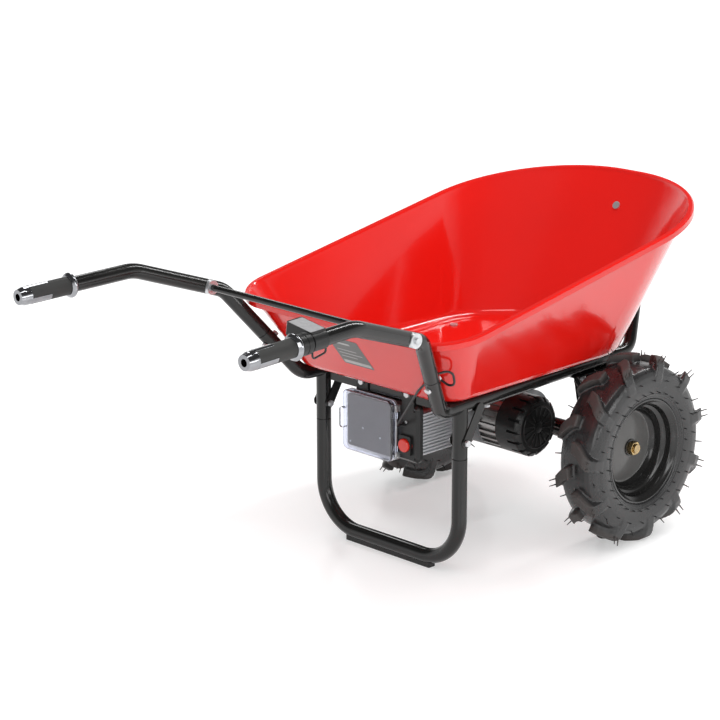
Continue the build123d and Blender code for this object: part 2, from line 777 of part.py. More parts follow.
def case_section(y, radius):
    with BuildSketch(turned(0, y, 0)) as section:
        with BuildLine():
            CenterArc((axle_x, -axle_z), radius, 0, 360)
            CenterArc((motor_x, -motor_z), radius, 0, 360)
        make_hull()
    return section.sketch


seat_fit = gear_shaft_dia + 2 * running
with BuildPart() as gearbox_case:
    extrude(case_section(case_floor, case_radius), amount=case_left - case_floor)
    extrude(case_section(case_floor, case_radius - case_wall), amount=case_left - case_floor - case_wall,
            mode=Mode.SUBTRACT)
    drill(axle_point(case_floor), side_y, bearing_dia, 2 * case_left)
    drill(Vector(counter_x, case_floor, counter_z), side_y, seat_fit, case_left - case_floor - case_wall / 2)
save(gearbox_case.part, "gearbox_case")

with BuildPart() as gearbox_cover:
    extrude(case_section(case_right, case_radius), amount=case_wall)
    drill(axle_point(case_right), side_y, bearing_dia, case_wall)
    drill(Vector(counter_x, case_floor, counter_z), side_y * -1, seat_fit, case_wall / 2)
    drill(Vector(motor_x, case_right, motor_z), side_y, seat_fit, case_wall)
save(gearbox_cover.part, "gearbox_cover")

# Motor: finned body, slotted cap, stator and rotor
with BuildPart() as motor_body:
    with BuildSketch(turned(motor_x, motor_split, motor_z)):
        Circle(motor_radius - motor_fin)
        with PolarLocations(motor_radius - motor_fin, motor_fins):
            Rectangle(2 * motor_fin, motor_fin_width)
        Circle(motor_bore_radius, mode=Mode.SUBTRACT)
    extrude(amount=case_right - motor_split)
save(motor_body.part, "motor_body")

with BuildPart() as motor_cap:
    with BuildSketch(turned(motor_x, motor_end, motor_z)):
        Circle(motor_radius)
    extrude(amount=motor_split - motor_end)
    chamfer(motor_cap.faces().sort_by(Axis.Y)[0].edges(), motor_end_round)
    with BuildSketch(turned(motor_x, motor_end, motor_z)):
        with PolarLocations(motor_radius, cap_slots):
            Rectangle(2 * cap_wall, 6)
    extrude(amount=3 * motor_end_round, mode=Mode.SUBTRACT)
    with BuildSketch(turned(motor_x, cap_floor, motor_z)):
        Circle(motor_bore_radius)
    extrude(amount=motor_split - cap_floor, mode=Mode.SUBTRACT)
    drill(Vector(motor_x, cap_floor, motor_z), side_y * -1, seat_fit, cap_wall / 2)
save(motor_cap.part, "motor_cap")
save(ring(Vector(motor_x, core_start, motor_z), side_y, 2 * motor_bore_radius, 2 * (rotor_radius + stator_gap),
          core_length), "motor_stator")

# Battery box: finned shell between two end plates, hung by ears from two cross channels
box_rear = axle_x - box_rear_behind
box_z = (box_top + box_floor) / 2
shell_rear = box_rear + end_plate
shell_front = shell_rear + box_shell_length
shell_half = box_half_width - box_fin
shell_height = box_height - 2 * shell_inset
channel_z = channel_top - channel_height / 2
channel_half = leg_half_span - rail_r - brace_sheet
rear_web = box_rear + ear_sheet
front_web = shell_front + end_plate


def box_plane(x, y=box_middle, z=box_z):
    return Plane(origin=(x, y, z), x_dir=(0, 1, 0), z_dir=(1, 0, 0))


def rearward(y, z):
    return Plane(origin=(box_rear, y, z), x_dir=(0, -1, 0), z_dir=(-1, 0, 0))


with BuildPart() as box_shell:
    with BuildSketch(box_plane(shell_rear)):
        RectangleRounded(2 * shell_half, shell_height, 8)
        with GridLocations(2 * shell_half, shell_height / (box_fins + 1), 2, box_fins):
            Rectangle(2 * box_fin, shell_height / (box_fins + 1) / 2)
        RectangleRounded(2 * (shell_half - box_wall), shell_height - 2 * box_wall, 5, mode=Mode.SUBTRACT)
    extrude(amount=box_shell_length)
save(box_shell.part, "box_shell")


def end_plate_part(start, ear_start, outer_face):
    with BuildPart() as piece:
        with BuildSketch(box_plane(start)):
            RectangleRounded(2 * box_half_width, box_height, 12)
        extrude(amount=end_plate)
        chamfer(piece.faces().sort_by(Axis.X)[outer_face].edges(), end_plate_edge)
        with BuildSketch(box_plane(ear_start, z=(channel_top + box_top) / 2 - 8)):
            with Locations((-ear_pitch / 2, 0), (ear_pitch / 2, 0)):
                RectangleRounded(ear_width, channel_top - box_top + 14, 4)
        extrude(amount=ear_sheet)
        for side in (-1, 1):
            drill(Vector(ear_start - 1, box_middle + side * ear_pitch / 2, channel_z), Vector(1, 0, 0), bolt_dia,
                  ear_sheet + 2)
    return piece.part


button_pocket = button_rim + button_travel + button_gap + 2 * loose
with BuildPart() as box_rear_plate:
    add(end_plate_part(box_rear, box_rear, 0))
    with BuildSketch(rearward(switch_at, switch_height)):
        Circle(button_dia / 2 + button_rim + button_gap)
    extrude(amount=-button_pocket, mode=Mode.SUBTRACT)
save(box_rear_plate.part, "box_rear_plate")
save(end_plate_part(shell_front, front_web - ear_sheet, -1), "box_front_plate")

with BuildPart() as cross_channels:
    for web in (rear_web, front_web):
        with Locations((web, 0, channel_z)):
            Box(channel_height, 2 * channel_half, channel_height, align=(Align.MIN, Align.CENTER, Align.CENTER))
        with Locations((web + channel_sheet, 0, channel_z)):
            Box(channel_height, 2 * channel_half, channel_height - 2 * channel_sheet,
                align=(Align.MIN, Align.CENTER, Align.CENTER), mode=Mode.SUBTRACT)
        for side in (-1, 1):
            drill(Vector(web - 1, box_middle + side * ear_pitch / 2, channel_z), Vector(1, 0, 0), bolt_dia,
                  channel_sheet + 2)
    add(rail_full, mode=Mode.SUBTRACT)
    add(mirrored(rail_full), mode=Mode.SUBTRACT)
save(cross_channels.part, "cross_channels")

with BuildPart() as box_bolts:
    for web in (rear_web, front_web):
        for side in (-1, 1):
            seat = Vector(web - ear_sheet, box_middle + side * ear_pitch / 2, channel_z)
            add(bolt(seat, Vector(-1, 0, 0), ear_sheet + channel_sheet, nut=True))
save(box_bolts.part, "box_bolts")

pack_floor = box_floor + shell_inset + box_wall
pack_width = (shell_half - box_wall) * 1.26
controller_width = (shell_half - box_wall) * 0.5
with BuildPart() as battery_pack:
    with BuildSketch(Plane(origin=(shell_rear + loose, box_middle + shell_half - box_wall - 6 * loose, pack_floor))):
        RectangleRounded(box_shell_length - 2 * loose, pack_width, 4, align=(Align.MIN, Align.MAX))
    extrude(amount=shell_height - 2 * box_wall - 6 * loose)
save(battery_pack.part, "battery_pack")

with BuildPart() as motor_controller:
    with BuildSketch(box_plane(shell_rear + 12 * loose, box_middle - shell_half + box_wall + 6 * loose, pack_floor)):
        Rectangle(controller_width, shell_height * 0.62, align=(Align.MIN, Align.MIN))
        with Locations((controller_width, shell_height * 0.31)):
            with GridLocations(0, shell_height * 0.11, 1, 5):
                Rectangle(10, 3.5, mode=Mode.SUBTRACT)
    extrude(amount=box_shell_length - 24 * loose)
save(motor_controller.part, "motor_controller")

# Clear cover on its frame, with a vertical hinge on its right edge
cover_y = (cover_left + cover_right) / 2
cover_z = (cover_top + cover_floor) / 2
cover_width = cover_left - cover_right
cover_plane = rearward(cover_y, cover_z)
pin_x = box_rear - cover_frame_depth - hinge_boss_dia / 2 - hinge_gap
pin_y = cover_right - hinge_boss_dia / 2 - 0.5
knuckle_low = cover_floor + 8
knuckle_high = cover_top - 8 - 2 * hinge_boss_length - loose


def knuckles(bases, bore):
    with BuildPart() as piece:
        for base in bases:
            with Locations((pin_x, pin_y, base)):
                Cylinder(hinge_boss_dia / 2, hinge_boss_length, align=(Align.CENTER, Align.CENTER, Align.MIN))
            drill(Vector(pin_x, pin_y, base - 1), up, bore, hinge_boss_length + 2)
    return piece.part


with BuildPart() as cover_frame:
    with BuildSketch(cover_plane):
        RectangleRounded(cover_width, cover_height, 14)
        RectangleRounded(cover_width - 2 * cover_frame_width, cover_height - 2 * cover_frame_width, 8,
                         mode=Mode.SUBTRACT)
    extrude(amount=cover_frame_depth)
    fixed = (knuckle_low, knuckle_high + hinge_boss_length + loose)
    for base in fixed:
        with Locations((box_rear, pin_y - hinge_boss_dia / 2, base)):
            Box(cover_frame_depth, cover_right - pin_y + hinge_boss_dia, hinge_boss_length,
                align=(Align.MAX, Align.MIN, Align.MIN))
            Box(box_rear - pin_x, hinge_boss_dia, hinge_boss_length, align=(Align.MAX, Align.MIN, Align.MIN))
        drill(Vector(pin_x, pin_y, base), up, hinge_boss_dia, hinge_boss_length)
    add(knuckles(fixed, hinge_pin_dia))
save(cover_frame.part, "cover_frame")

cover_seat = cover_frame_depth + hinge_gap
with BuildPart() as cover:
    with BuildSketch(cover_plane.offset(cover_seat)):
        RectangleRounded(cover_width, cover_height, 14)
    extrude(amount=cover_depth)
    chamfer(cover.faces().sort_by(Axis.X)[0].edges(), 3)
    with BuildSketch(cover_plane.offset(cover_seat)):
        RectangleRounded(cover_width - 2 * cover_wall, cover_height - 2 * cover_wall, 14 - cover_wall)
    extrude(amount=cover_depth - cover_wall, mode=Mode.SUBTRACT)
    with BuildSketch(rearward(cover_left, cover_z).offset(cover_seat)):
        with Locations((-latch_reach / 2, 0)):
            RectangleRounded(latch_reach + 2, latch_width, 6)
    extrude(amount=cover_depth - 4)
    with BuildSketch(cover_plane.offset(cover_seat)):
        RectangleRounded(cover_width - 2 * cover_wall, cover_height - 2 * cover_wall, 14 - cover_wall)
    extrude(amount=cover_depth - cover_wall, mode=Mode.SUBTRACT)
    turning = (knuckle_low + hinge_boss_length + loose, knuckle_high)
    for base in turning:
        with Locations((pin_x, pin_y, base)):
            Box(hinge_boss_dia, cover_right - pin_y + cover_wall, hinge_boss_length,
                align=(Align.CENTER, Align.MIN, Align.MIN))
        drill(Vector(pin_x, pin_y, base), up, hinge_boss_dia, hinge_boss_length)
    add(knuckles(turning, hinge_pin_dia + 2 * running))
save(cover.part, "cover")
save(rod(Vector(pin_x, pin_y, knuckle_low), Vector(pin_x, pin_y, knuckle_high + 2 * hinge_boss_length + loose),
         hinge_pin_dia), "cover_pin")

panel_room = 2 * (cover_frame_width + loose)
with BuildPart() as inner_panel:
    with BuildSketch(cover_plane):
        RectangleRounded(cover_width - panel_room, cover_height - panel_room, 7)
    extrude(amount=panel_depth)
save(inner_panel.part, "inner_panel")

# Push button: it slides in its bezel, which keeps its collar in the plate's pocket
with BuildPart() as switch_bezel:
    with BuildSketch(rearward(switch_at, switch_height)):
        RectangleRounded(bezel_width, bezel_length, 4)
        Circle(button_dia / 2 + button_gap, mode=Mode.SUBTRACT)
    extrude(amount=bezel_depth)
save(switch_bezel.part, "switch_bezel")

with BuildPart() as switch_button:
    with BuildSketch(rearward(switch_at, switch_height).offset(-button_gap - button_rim)):
        Circle(button_dia / 2 + button_rim)
    extrude(amount=button_rim)
    with BuildSketch(rearward(switch_at, switch_height).offset(-button_gap - button_rim)):
        Circle(button_dia / 2)
    extrude(amount=button_rise + button_gap + button_rim)
    chamfer(switch_button.faces().sort_by(Axis.X)[0].edges(), button_edge)
save(switch_button.part, "switch_button")

with BuildPart() as cable_gland:
    with BuildSketch(rearward(gland_at, gland_height)):
        RegularPolygon(gland_dia / 2, 6, major_radius=False)
        Circle(lead_dia / 2, mode=Mode.SUBTRACT)
    extrude(amount=gland_length / 2)
    with BuildSketch(rearward(gland_at, gland_height).offset(gland_length / 2)):
        Circle(gland_dia / 2 - 0.6)
        Circle(lead_dia / 2, mode=Mode.SUBTRACT)
    extrude(amount=gland_length / 2)
save(cable_gland.part, "cable_gland")

# Control lead: out of the right handle, round one loop, behind the riser and down to the gland
lead_wrap = rail_r + lead_dia / 2 + 5 * loose
wrap_in, wrap_out = radians(55), radians(-15)
lead_under = by_riser(-45, -15, 40)
lead_round = by_riser(-34, lead_wrap * cos(wrap_in), lead_wrap * sin(wrap_in))
lead_behind = by_riser(-37, lead_wrap * cos(wrap_out), lead_wrap * sin(wrap_out))
lead_clear = lead_behind + Vector(5, 31, -27)
lead_seat = Vector(box_rear, gland_at, gland_height)
lead_turn = lead_seat - Vector(gland_length + 14, 0, 0)
control_lead = tube((lead_exit + lead_out * 2, lead_exit + lead_out * 45, lead_under, lead_round, lead_behind,
                     lead_clear, lead_turn, lead_seat),
                    [lead_bend, lead_bend, lead_wrap * 0.4, lead_wrap * 0.4, 3 * lead_bend, 9], lead_dia, sides=8)


# Grips: rubber sleeves, each with a ring and an open crown whose three prongs lie in the rubber;
# the right one turns as the throttle
def grip_parts(end, run, play):
    plane = Plane(origin=end, x_dir=(0, 0, 1), z_dir=run * -1)
    bore = tube_r + play
    with BuildPart() as trim:
        with BuildSketch(plane.offset(crown_nose)):
            Circle(grip_dia / 2)
        extrude(amount=crown_length - crown_nose)
        with BuildSketch(plane.offset(crown_length)):
            with PolarLocations(grip_dia / 2, 3):
                Rectangle(grip_dia / 4, prong_width)
            Circle(grip_dia / 2 + 0.5, mode=Mode.INTERSECT)
            Circle(grip_dia / 2 - 1.2, mode=Mode.SUBTRACT)
        extrude(amount=prong_length)
        with BuildSketch(plane):
            Circle(crown_dia / 2)
        extrude(amount=crown_nose, taper=-degrees(atan((grip_dia - crown_dia) / 2 / crown_nose)))
        with BuildSketch(plane):
            Circle(crown_hole / 2)
        extrude(amount=crown_length, mode=Mode.SUBTRACT)
        with BuildSketch(plane.offset(grip_length)):
            Circle(ring_dia / 2)
        extrude(amount=ring_length)
        chamfer(trim.solids().sort_by(SortBy.VOLUME)[-1].edges().filter_by(GeomType.CIRCLE), ring_length / 4)
        with BuildSketch(plane.offset(grip_length)):
            Circle(bore)
        extrude(amount=ring_length, mode=Mode.SUBTRACT)
    with BuildPart() as sleeve:
        with BuildSketch(plane.offset(crown_length)):
            Circle(grip_dia / 2)
            Circle(bore, mode=Mode.SUBTRACT)
        extrude(amount=grip_length - crown_length)
        add(trim.part, mode=Mode.SUBTRACT)
    return sleeve.part, trim.part


right_end, right_run = right_of(grip_end), right_of(grip_run)
for side, end, run, play in (("left_grip", grip_end, grip_run, 0), ("throttle_grip", right_end, right_run, running)):
    sleeve, trim = grip_parts(end, run, play)
    save(sleeve, side)
    save(trim, f"{side}_trim")

housing_plane = Plane(origin=right_end, x_dir=(0, 0, 1), z_dir=right_run * -1).offset(housing_start)
with BuildPart() as throttle_housing:
    with BuildSketch(housing_plane):
        Circle(housing_dia / 2)
        Circle(tube_r, mode=Mode.SUBTRACT)
    extrude(amount=housing_length)
    with BuildSketch(housing_plane.offset(housing_length / 2 - 1)):
        Circle(housing_dia / 2)
        Circle(housing_dia / 2 - 1.2, mode=Mode.SUBTRACT)
    extrude(amount=2, mode=Mode.SUBTRACT)
save(throttle_housing.part, "throttle_housing")

box_s = (axle_x - control_box_behind - right_end.X) / -right_run.X
box_at = right_end - right_run * box_s
control_plane = Plane(origin=box_at, x_dir=right_run * -1,
                      z_dir=(right_run * -1).cross(side_y)).rotated((control_box_tilt, 0, 0))
control_top = handle_r + 5
with BuildPart() as control_box:
    with BuildSketch(control_plane.offset(control_top - control_box_height)):
        with Locations((0, control_box_width / 2 - 7)):
            RectangleRounded(control_box_length, control_box_width, 5)
    extrude(amount=control_box_height)
    add(rod(box_at - right_run * (control_box_length / 2 - 2), box_at + right_run * (control_box_length / 2 - 2),
            handle_dia + 2 * control_collar))
    drill(box_at + right_run * control_box_length, right_run * -1, handle_dia, 2 * control_box_length)
save(control_box.part, "control_box")

run_down = (down - right_run * down.dot(right_run)).normalized()


def under_handle(along, drop):
    return right_end - right_run * along + run_down * drop


loop_start = box_s - loop_run / 4
loop_end = loop_start + loop_run
with BuildPart() as leads:
    add(control_lead)
    add(tube((under_handle(loop_start, handle_r + control_collar), under_handle(loop_start, loop_drop),
              under_handle(loop_end, loop_drop - loop_bend), under_handle(loop_end, handle_r)),
             [loop_bend, loop_bend], loop_dia, sides=8))
save(leads.part, "control_lead")
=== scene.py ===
import json
import math
import bpy
from mathutils import Matrix, Vector


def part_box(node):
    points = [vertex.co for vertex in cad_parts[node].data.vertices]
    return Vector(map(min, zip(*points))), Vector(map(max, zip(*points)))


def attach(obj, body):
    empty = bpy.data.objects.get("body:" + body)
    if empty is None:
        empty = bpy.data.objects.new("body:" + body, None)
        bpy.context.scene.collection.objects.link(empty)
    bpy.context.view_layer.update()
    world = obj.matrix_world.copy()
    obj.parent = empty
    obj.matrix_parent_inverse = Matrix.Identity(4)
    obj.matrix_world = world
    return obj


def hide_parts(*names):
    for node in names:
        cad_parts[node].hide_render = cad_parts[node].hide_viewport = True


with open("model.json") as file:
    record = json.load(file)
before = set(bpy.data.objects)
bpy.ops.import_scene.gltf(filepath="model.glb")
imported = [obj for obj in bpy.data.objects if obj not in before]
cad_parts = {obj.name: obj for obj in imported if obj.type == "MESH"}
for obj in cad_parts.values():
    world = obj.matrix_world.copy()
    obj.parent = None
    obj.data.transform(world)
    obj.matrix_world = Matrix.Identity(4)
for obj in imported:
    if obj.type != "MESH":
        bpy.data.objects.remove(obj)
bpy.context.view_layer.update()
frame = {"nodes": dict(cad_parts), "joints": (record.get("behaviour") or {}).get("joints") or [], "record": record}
nodes = frame["nodes"]
bodyOf = {n: b for b, members in frame["record"]["behaviour"]["bodies"].items() for n in members}
jointAt = {j["name"]: Vector(j["pos_m"]) for j in frame["joints"] if j["type"] == "hinge"}
jointAxis = {j["name"]: Vector(j["axis"]).normalized() for j in frame["joints"]}
print("frame loaded:", len(nodes), "nodes")


# camera, floor and light
shot = {"target": (-0.13125, 0.0, 0.44262), "azimuth": -45.03, "elevation": 16.16, "roll": -0.14,
        "distance": 4.961, "lens": 121.32, "sensor": 36, "reach": 200}


def aimCamera(shot):
    turn, rise = math.radians(shot["azimuth"]), math.radians(shot["elevation"])
    back = Vector((math.sin(turn) * math.cos(rise), -math.cos(turn) * math.cos(rise), math.sin(rise)))
    bpy.ops.object.camera_add(location=Vector(shot["target"]) + back * shot["distance"])
    camera = bpy.context.object
    camera.rotation_mode = "QUATERNION"
    camera.rotation_quaternion = (-back).to_track_quat("-Z", "Y") @ Matrix.Rotation(
        math.radians(shot["roll"]), 3, "Z").to_quaternion()
    camera.data.lens = shot["lens"]
    camera.data.sensor_width = shot["sensor"]
    camera.data.clip_end = shot["reach"]
    bpy.context.scene.camera = camera


studio = {"floorSize": 80, "floorTone": 0.9, "floorRough": 0.14,
          "floorLift": (0.31, 0.5), "floorReach": (1.2, 7.0),
          "skyLevel": 0.54, "horizon": 1.0, "ceiling": 0.1, "fade": (0.2, 0.4),
          "sunLevel": 0.9, "sunSpread": 70, "sunTilt": (20, -16, 0),
          "lampAim": (0, 0, 0.4),
          "softboxes": [{"size": (1.4, 1.4), "at": (-2.4, -2.2, 1.5), "power": 22},
                        {"size": (0.25, 1.8), "at": (2.1, -0.2, 2.6), "power": 32},
                        {"size": (2.2, 0.4), "at": (0.2, -2.7, 0.9), "power": 15},
                        {"size": (0.5, 2.2), "at": (1.2, 2.3, 3.2), "power": 26},
                        {"size": (2.0, 0.3), "at": (-0.5, -0.7, 3.6), "power": 16}]}


def addMath(tree, kind, first, second):
    node = tree.nodes.new("ShaderNodeMath")
    node.operation = kind
    for socket, value in zip(node.inputs, (first, second)):
        if isinstance(value, (int, float)):
            socket.default_value = value
        else:
            tree.links.new(value, socket)
    return node.outputs[0]


def addShown(tree):  # 1 for what the camera sees, directly, mirrored or through glass
    path = tree.nodes.new("ShaderNodeLightPath")
    seen = addMath(tree, "MAXIMUM", path.outputs["Is Camera Ray"], path.outputs["Is Glossy Ray"])
    return addMath(tree, "MAXIMUM", seen, path.outputs["Is Transmission Ray"])


def makeFloor(studio):
    bpy.ops.mesh.primitive_plane_add(size=studio["floorSize"])
    floor = bpy.context.object
    floor.name = "floor"
    paper = bpy.data.materials.new("floorPaper")
    paper.use_nodes = True
    tree = paper.node_tree
    shader = tree.nodes["Principled BSDF"]
    shader.inputs["Base Color"].default_value = (*[studio["floorTone"]] * 3, 1)
    shader.inputs["Roughness"].default_value = studio["floorRough"]
    shader.inputs["Emission Color"].default_value = (1, 1, 1, 1)
    reach = tree.nodes.new("ShaderNodeVectorMath")
    reach.operation = "LENGTH"
    tree.links.new(tree.nodes.new("ShaderNodeTexCoord").outputs["Object"], reach.inputs[0])
    lift = tree.nodes.new("ShaderNodeMapRange")
    lift.inputs["From Min"].default_value, lift.inputs["From Max"].default_value = studio["floorReach"]
    lift.inputs["To Min"].default_value, lift.inputs["To Max"].default_value = studio["floorLift"]
    tree.links.new(reach.outputs["Value"], lift.inputs["Value"])
    shown = addMath(tree, "MULTIPLY", addShown(tree), lift.outputs["Result"])
    tree.links.new(shown, shader.inputs["Emission Strength"])
    floor.data.materials.append(paper)


def makeSky(studio):  # even light, with a white horizon and a dim ceiling in the reflections
    world = bpy.context.scene.world or bpy.data.worlds.new("studio")
    bpy.context.scene.world = world
    world.use_nodes = True
    tree = world.node_tree
    split = tree.nodes.new("ShaderNodeSeparateXYZ")
    tree.links.new(tree.nodes.new("ShaderNodeTexCoord").outputs["Generated"], split.inputs[0])
    dim = tree.nodes.new("ShaderNodeMapRange")
    dim.inputs["From Min"].default_value, dim.inputs["From Max"].default_value = studio["fade"]
    dim.inputs["To Min"].default_value = studio["horizon"]
    dim.inputs["To Max"].default_value = studio["ceiling"]
    tree.links.new(split.outputs["Z"], dim.inputs["Value"])
    level = tree.nodes.new("ShaderNodeMix")
    level.inputs[2].default_value = studio["skyLevel"]
    tree.links.new(addShown(tree), level.inputs[0])
    tree.links.new(dim.outputs["Result"], level.inputs[3])
    tree.nodes["Background"].inputs["Color"].default_value = (1, 1, 1, 1)
    tree.links.new(level.outputs[0], tree.nodes["Background"].inputs["Strength"])


def lightStudio(studio):
    bpy.ops.object.light_add(type="SUN", rotation=[math.radians(a) for a in studio["sunTilt"]])
    bpy.context.object.data.energy = studio["sunLevel"]
    bpy.context.object.data.angle = math.radians(studio["sunSpread"])
    bpy.context.object.visible_glossy = False  # a soft fill with no mirror image
    for box in studio["softboxes"]:
        aim = Vector(studio["lampAim"]) - Vector(box["at"])
        bpy.ops.object.light_add(type="AREA", location=box["at"],
                                 rotation=aim.to_track_quat("-Z", "Y").to_euler())
        lamp = bpy.context.object.data
        lamp.shape, lamp.energy = "RECTANGLE", box["power"]
        lamp.size, lamp.size_y = box["size"]


bpy.context.scene.view_settings.view_transform = "Standard"
aimCamera(shot)
makeFloor(studio)
makeSky(studio)
lightStudio(studio)
print("camera and light set")


# effects shared by the materials
def newEffect(name, inputs, outputs):
    tree = bpy.data.node_groups.new(name, "ShaderNodeTree")
    for label, value in inputs.items():
        socket = tree.interface.new_socket(label, in_out="INPUT", socket_type="NodeSocketFloat")
        socket.default_value = value
    for label in outputs:
        tree.interface.new_socket(label, in_out="OUTPUT", socket_type="NodeSocketFloat")
    return tree, tree.nodes.new("NodeGroupInput"), tree.nodes.new("NodeGroupOutput")


def addNoise(tree, size, detail=3.0, stretch=None):
    coords = tree.nodes.new("ShaderNodeTexCoord").outputs["Object"]
    if stretch:
        mapping = tree.nodes.new("ShaderNodeMapping")
        mapping.inputs["Scale"].default_value = stretch
        tree.links.new(coords, mapping.inputs["Vector"])
        coords = mapping.outputs["Vector"]
    noise = tree.nodes.new("ShaderNodeTexNoise")
    noise.inputs["Detail"].default_value = detail
    tree.links.new(coords, noise.inputs["Vector"])
    tree.links.new(addMath(tree, "DIVIDE", 1.0, size), noise.inputs["Scale"])
    return noise.outputs["Fac"]


def makeMottle():  # slow patches of tone, 0 to 1
    tree, given, put = newEffect("mottle", {"Size": 0.05, "Contrast": 1.0}, ["Mask"])
    noise = addNoise(tree, given.outputs["Size"], detail=4.0)
    middle = 0.5
    centred = addMath(tree, "SUBTRACT", noise, middle)
    spread = addMath(tree, "MULTIPLY", centred, given.outputs["Contrast"])
    lifted = tree.nodes.new("ShaderNodeMath")
    lifted.operation, lifted.use_clamp = "ADD", True
    lifted.inputs[1].default_value = middle
    tree.links.new(spread, lifted.inputs[0])
    tree.links.new(lifted.outputs[0], put.inputs["Mask"])
    return tree


def makeGrain(name, detail, stretch=None):  # fine relief
    tree, given, put = newEffect(name, {"Size": 0.001}, ["Height"])
    tree.links.new(addNoise(tree, given.outputs["Size"], detail, stretch), put.inputs["Height"])
    return tree


def makeDimples(spread=0.25):  # moulded dots
    tree, given, put = newEffect("dimples", {"Size": 0.002}, ["Height"])
    coords = tree.nodes.new("ShaderNodeTexCoord").outputs["Object"]
    cells = tree.nodes.new("ShaderNodeTexVoronoi")
    cells.inputs["Randomness"].default_value = spread
    tree.links.new(coords, cells.inputs["Vector"])
    tree.links.new(addMath(tree, "DIVIDE", 1.0, given.outputs["Size"]), cells.inputs["Scale"])
    tree.links.new(cells.outputs["Distance"], put.inputs["Height"])
    return tree


def makeRing():  # 0 at one distance from the axle, 1 at another; the mask of the painted reflections and highlight on the wheels
    tree, given, put = newEffect("ring", {"From": 0.1, "To": 0.2}, ["Mask"])
    flat = tree.nodes.new("ShaderNodeVectorMath")
    flat.operation = "MULTIPLY_ADD"
    flat.inputs[1].default_value = (1, 0, 1)
    flat.inputs[2].default_value = (-jointAt["wheel_left_spin"].x, 0, -jointAt["wheel_left_spin"].z)
    tree.links.new(tree.nodes.new("ShaderNodeTexCoord").outputs["Object"], flat.inputs[0])
    reach = tree.nodes.new("ShaderNodeVectorMath")
    reach.operation = "LENGTH"
    tree.links.new(flat.outputs["Vector"], reach.inputs[0])
    step = tree.nodes.new("ShaderNodeMapRange")
    tree.links.new(reach.outputs["Value"], step.inputs["Value"])
    tree.links.new(given.outputs["From"], step.inputs["From Min"])
    tree.links.new(given.outputs["To"], step.inputs["From Max"])
    tree.links.new(step.outputs["Result"], put.inputs["Mask"])
    return tree


effects = {"mottle": makeMottle(), "peel": makeGrain("peel", 1.0), "grit": makeGrain("grit", 6.0),
           "brushX": makeGrain("brushX", 3.0, (0.02, 1, 1)),
           "brushY": makeGrain("brushY", 3.0, (1, 0.02, 1)),
           "dimples": makeDimples(), "ring": makeRing()}

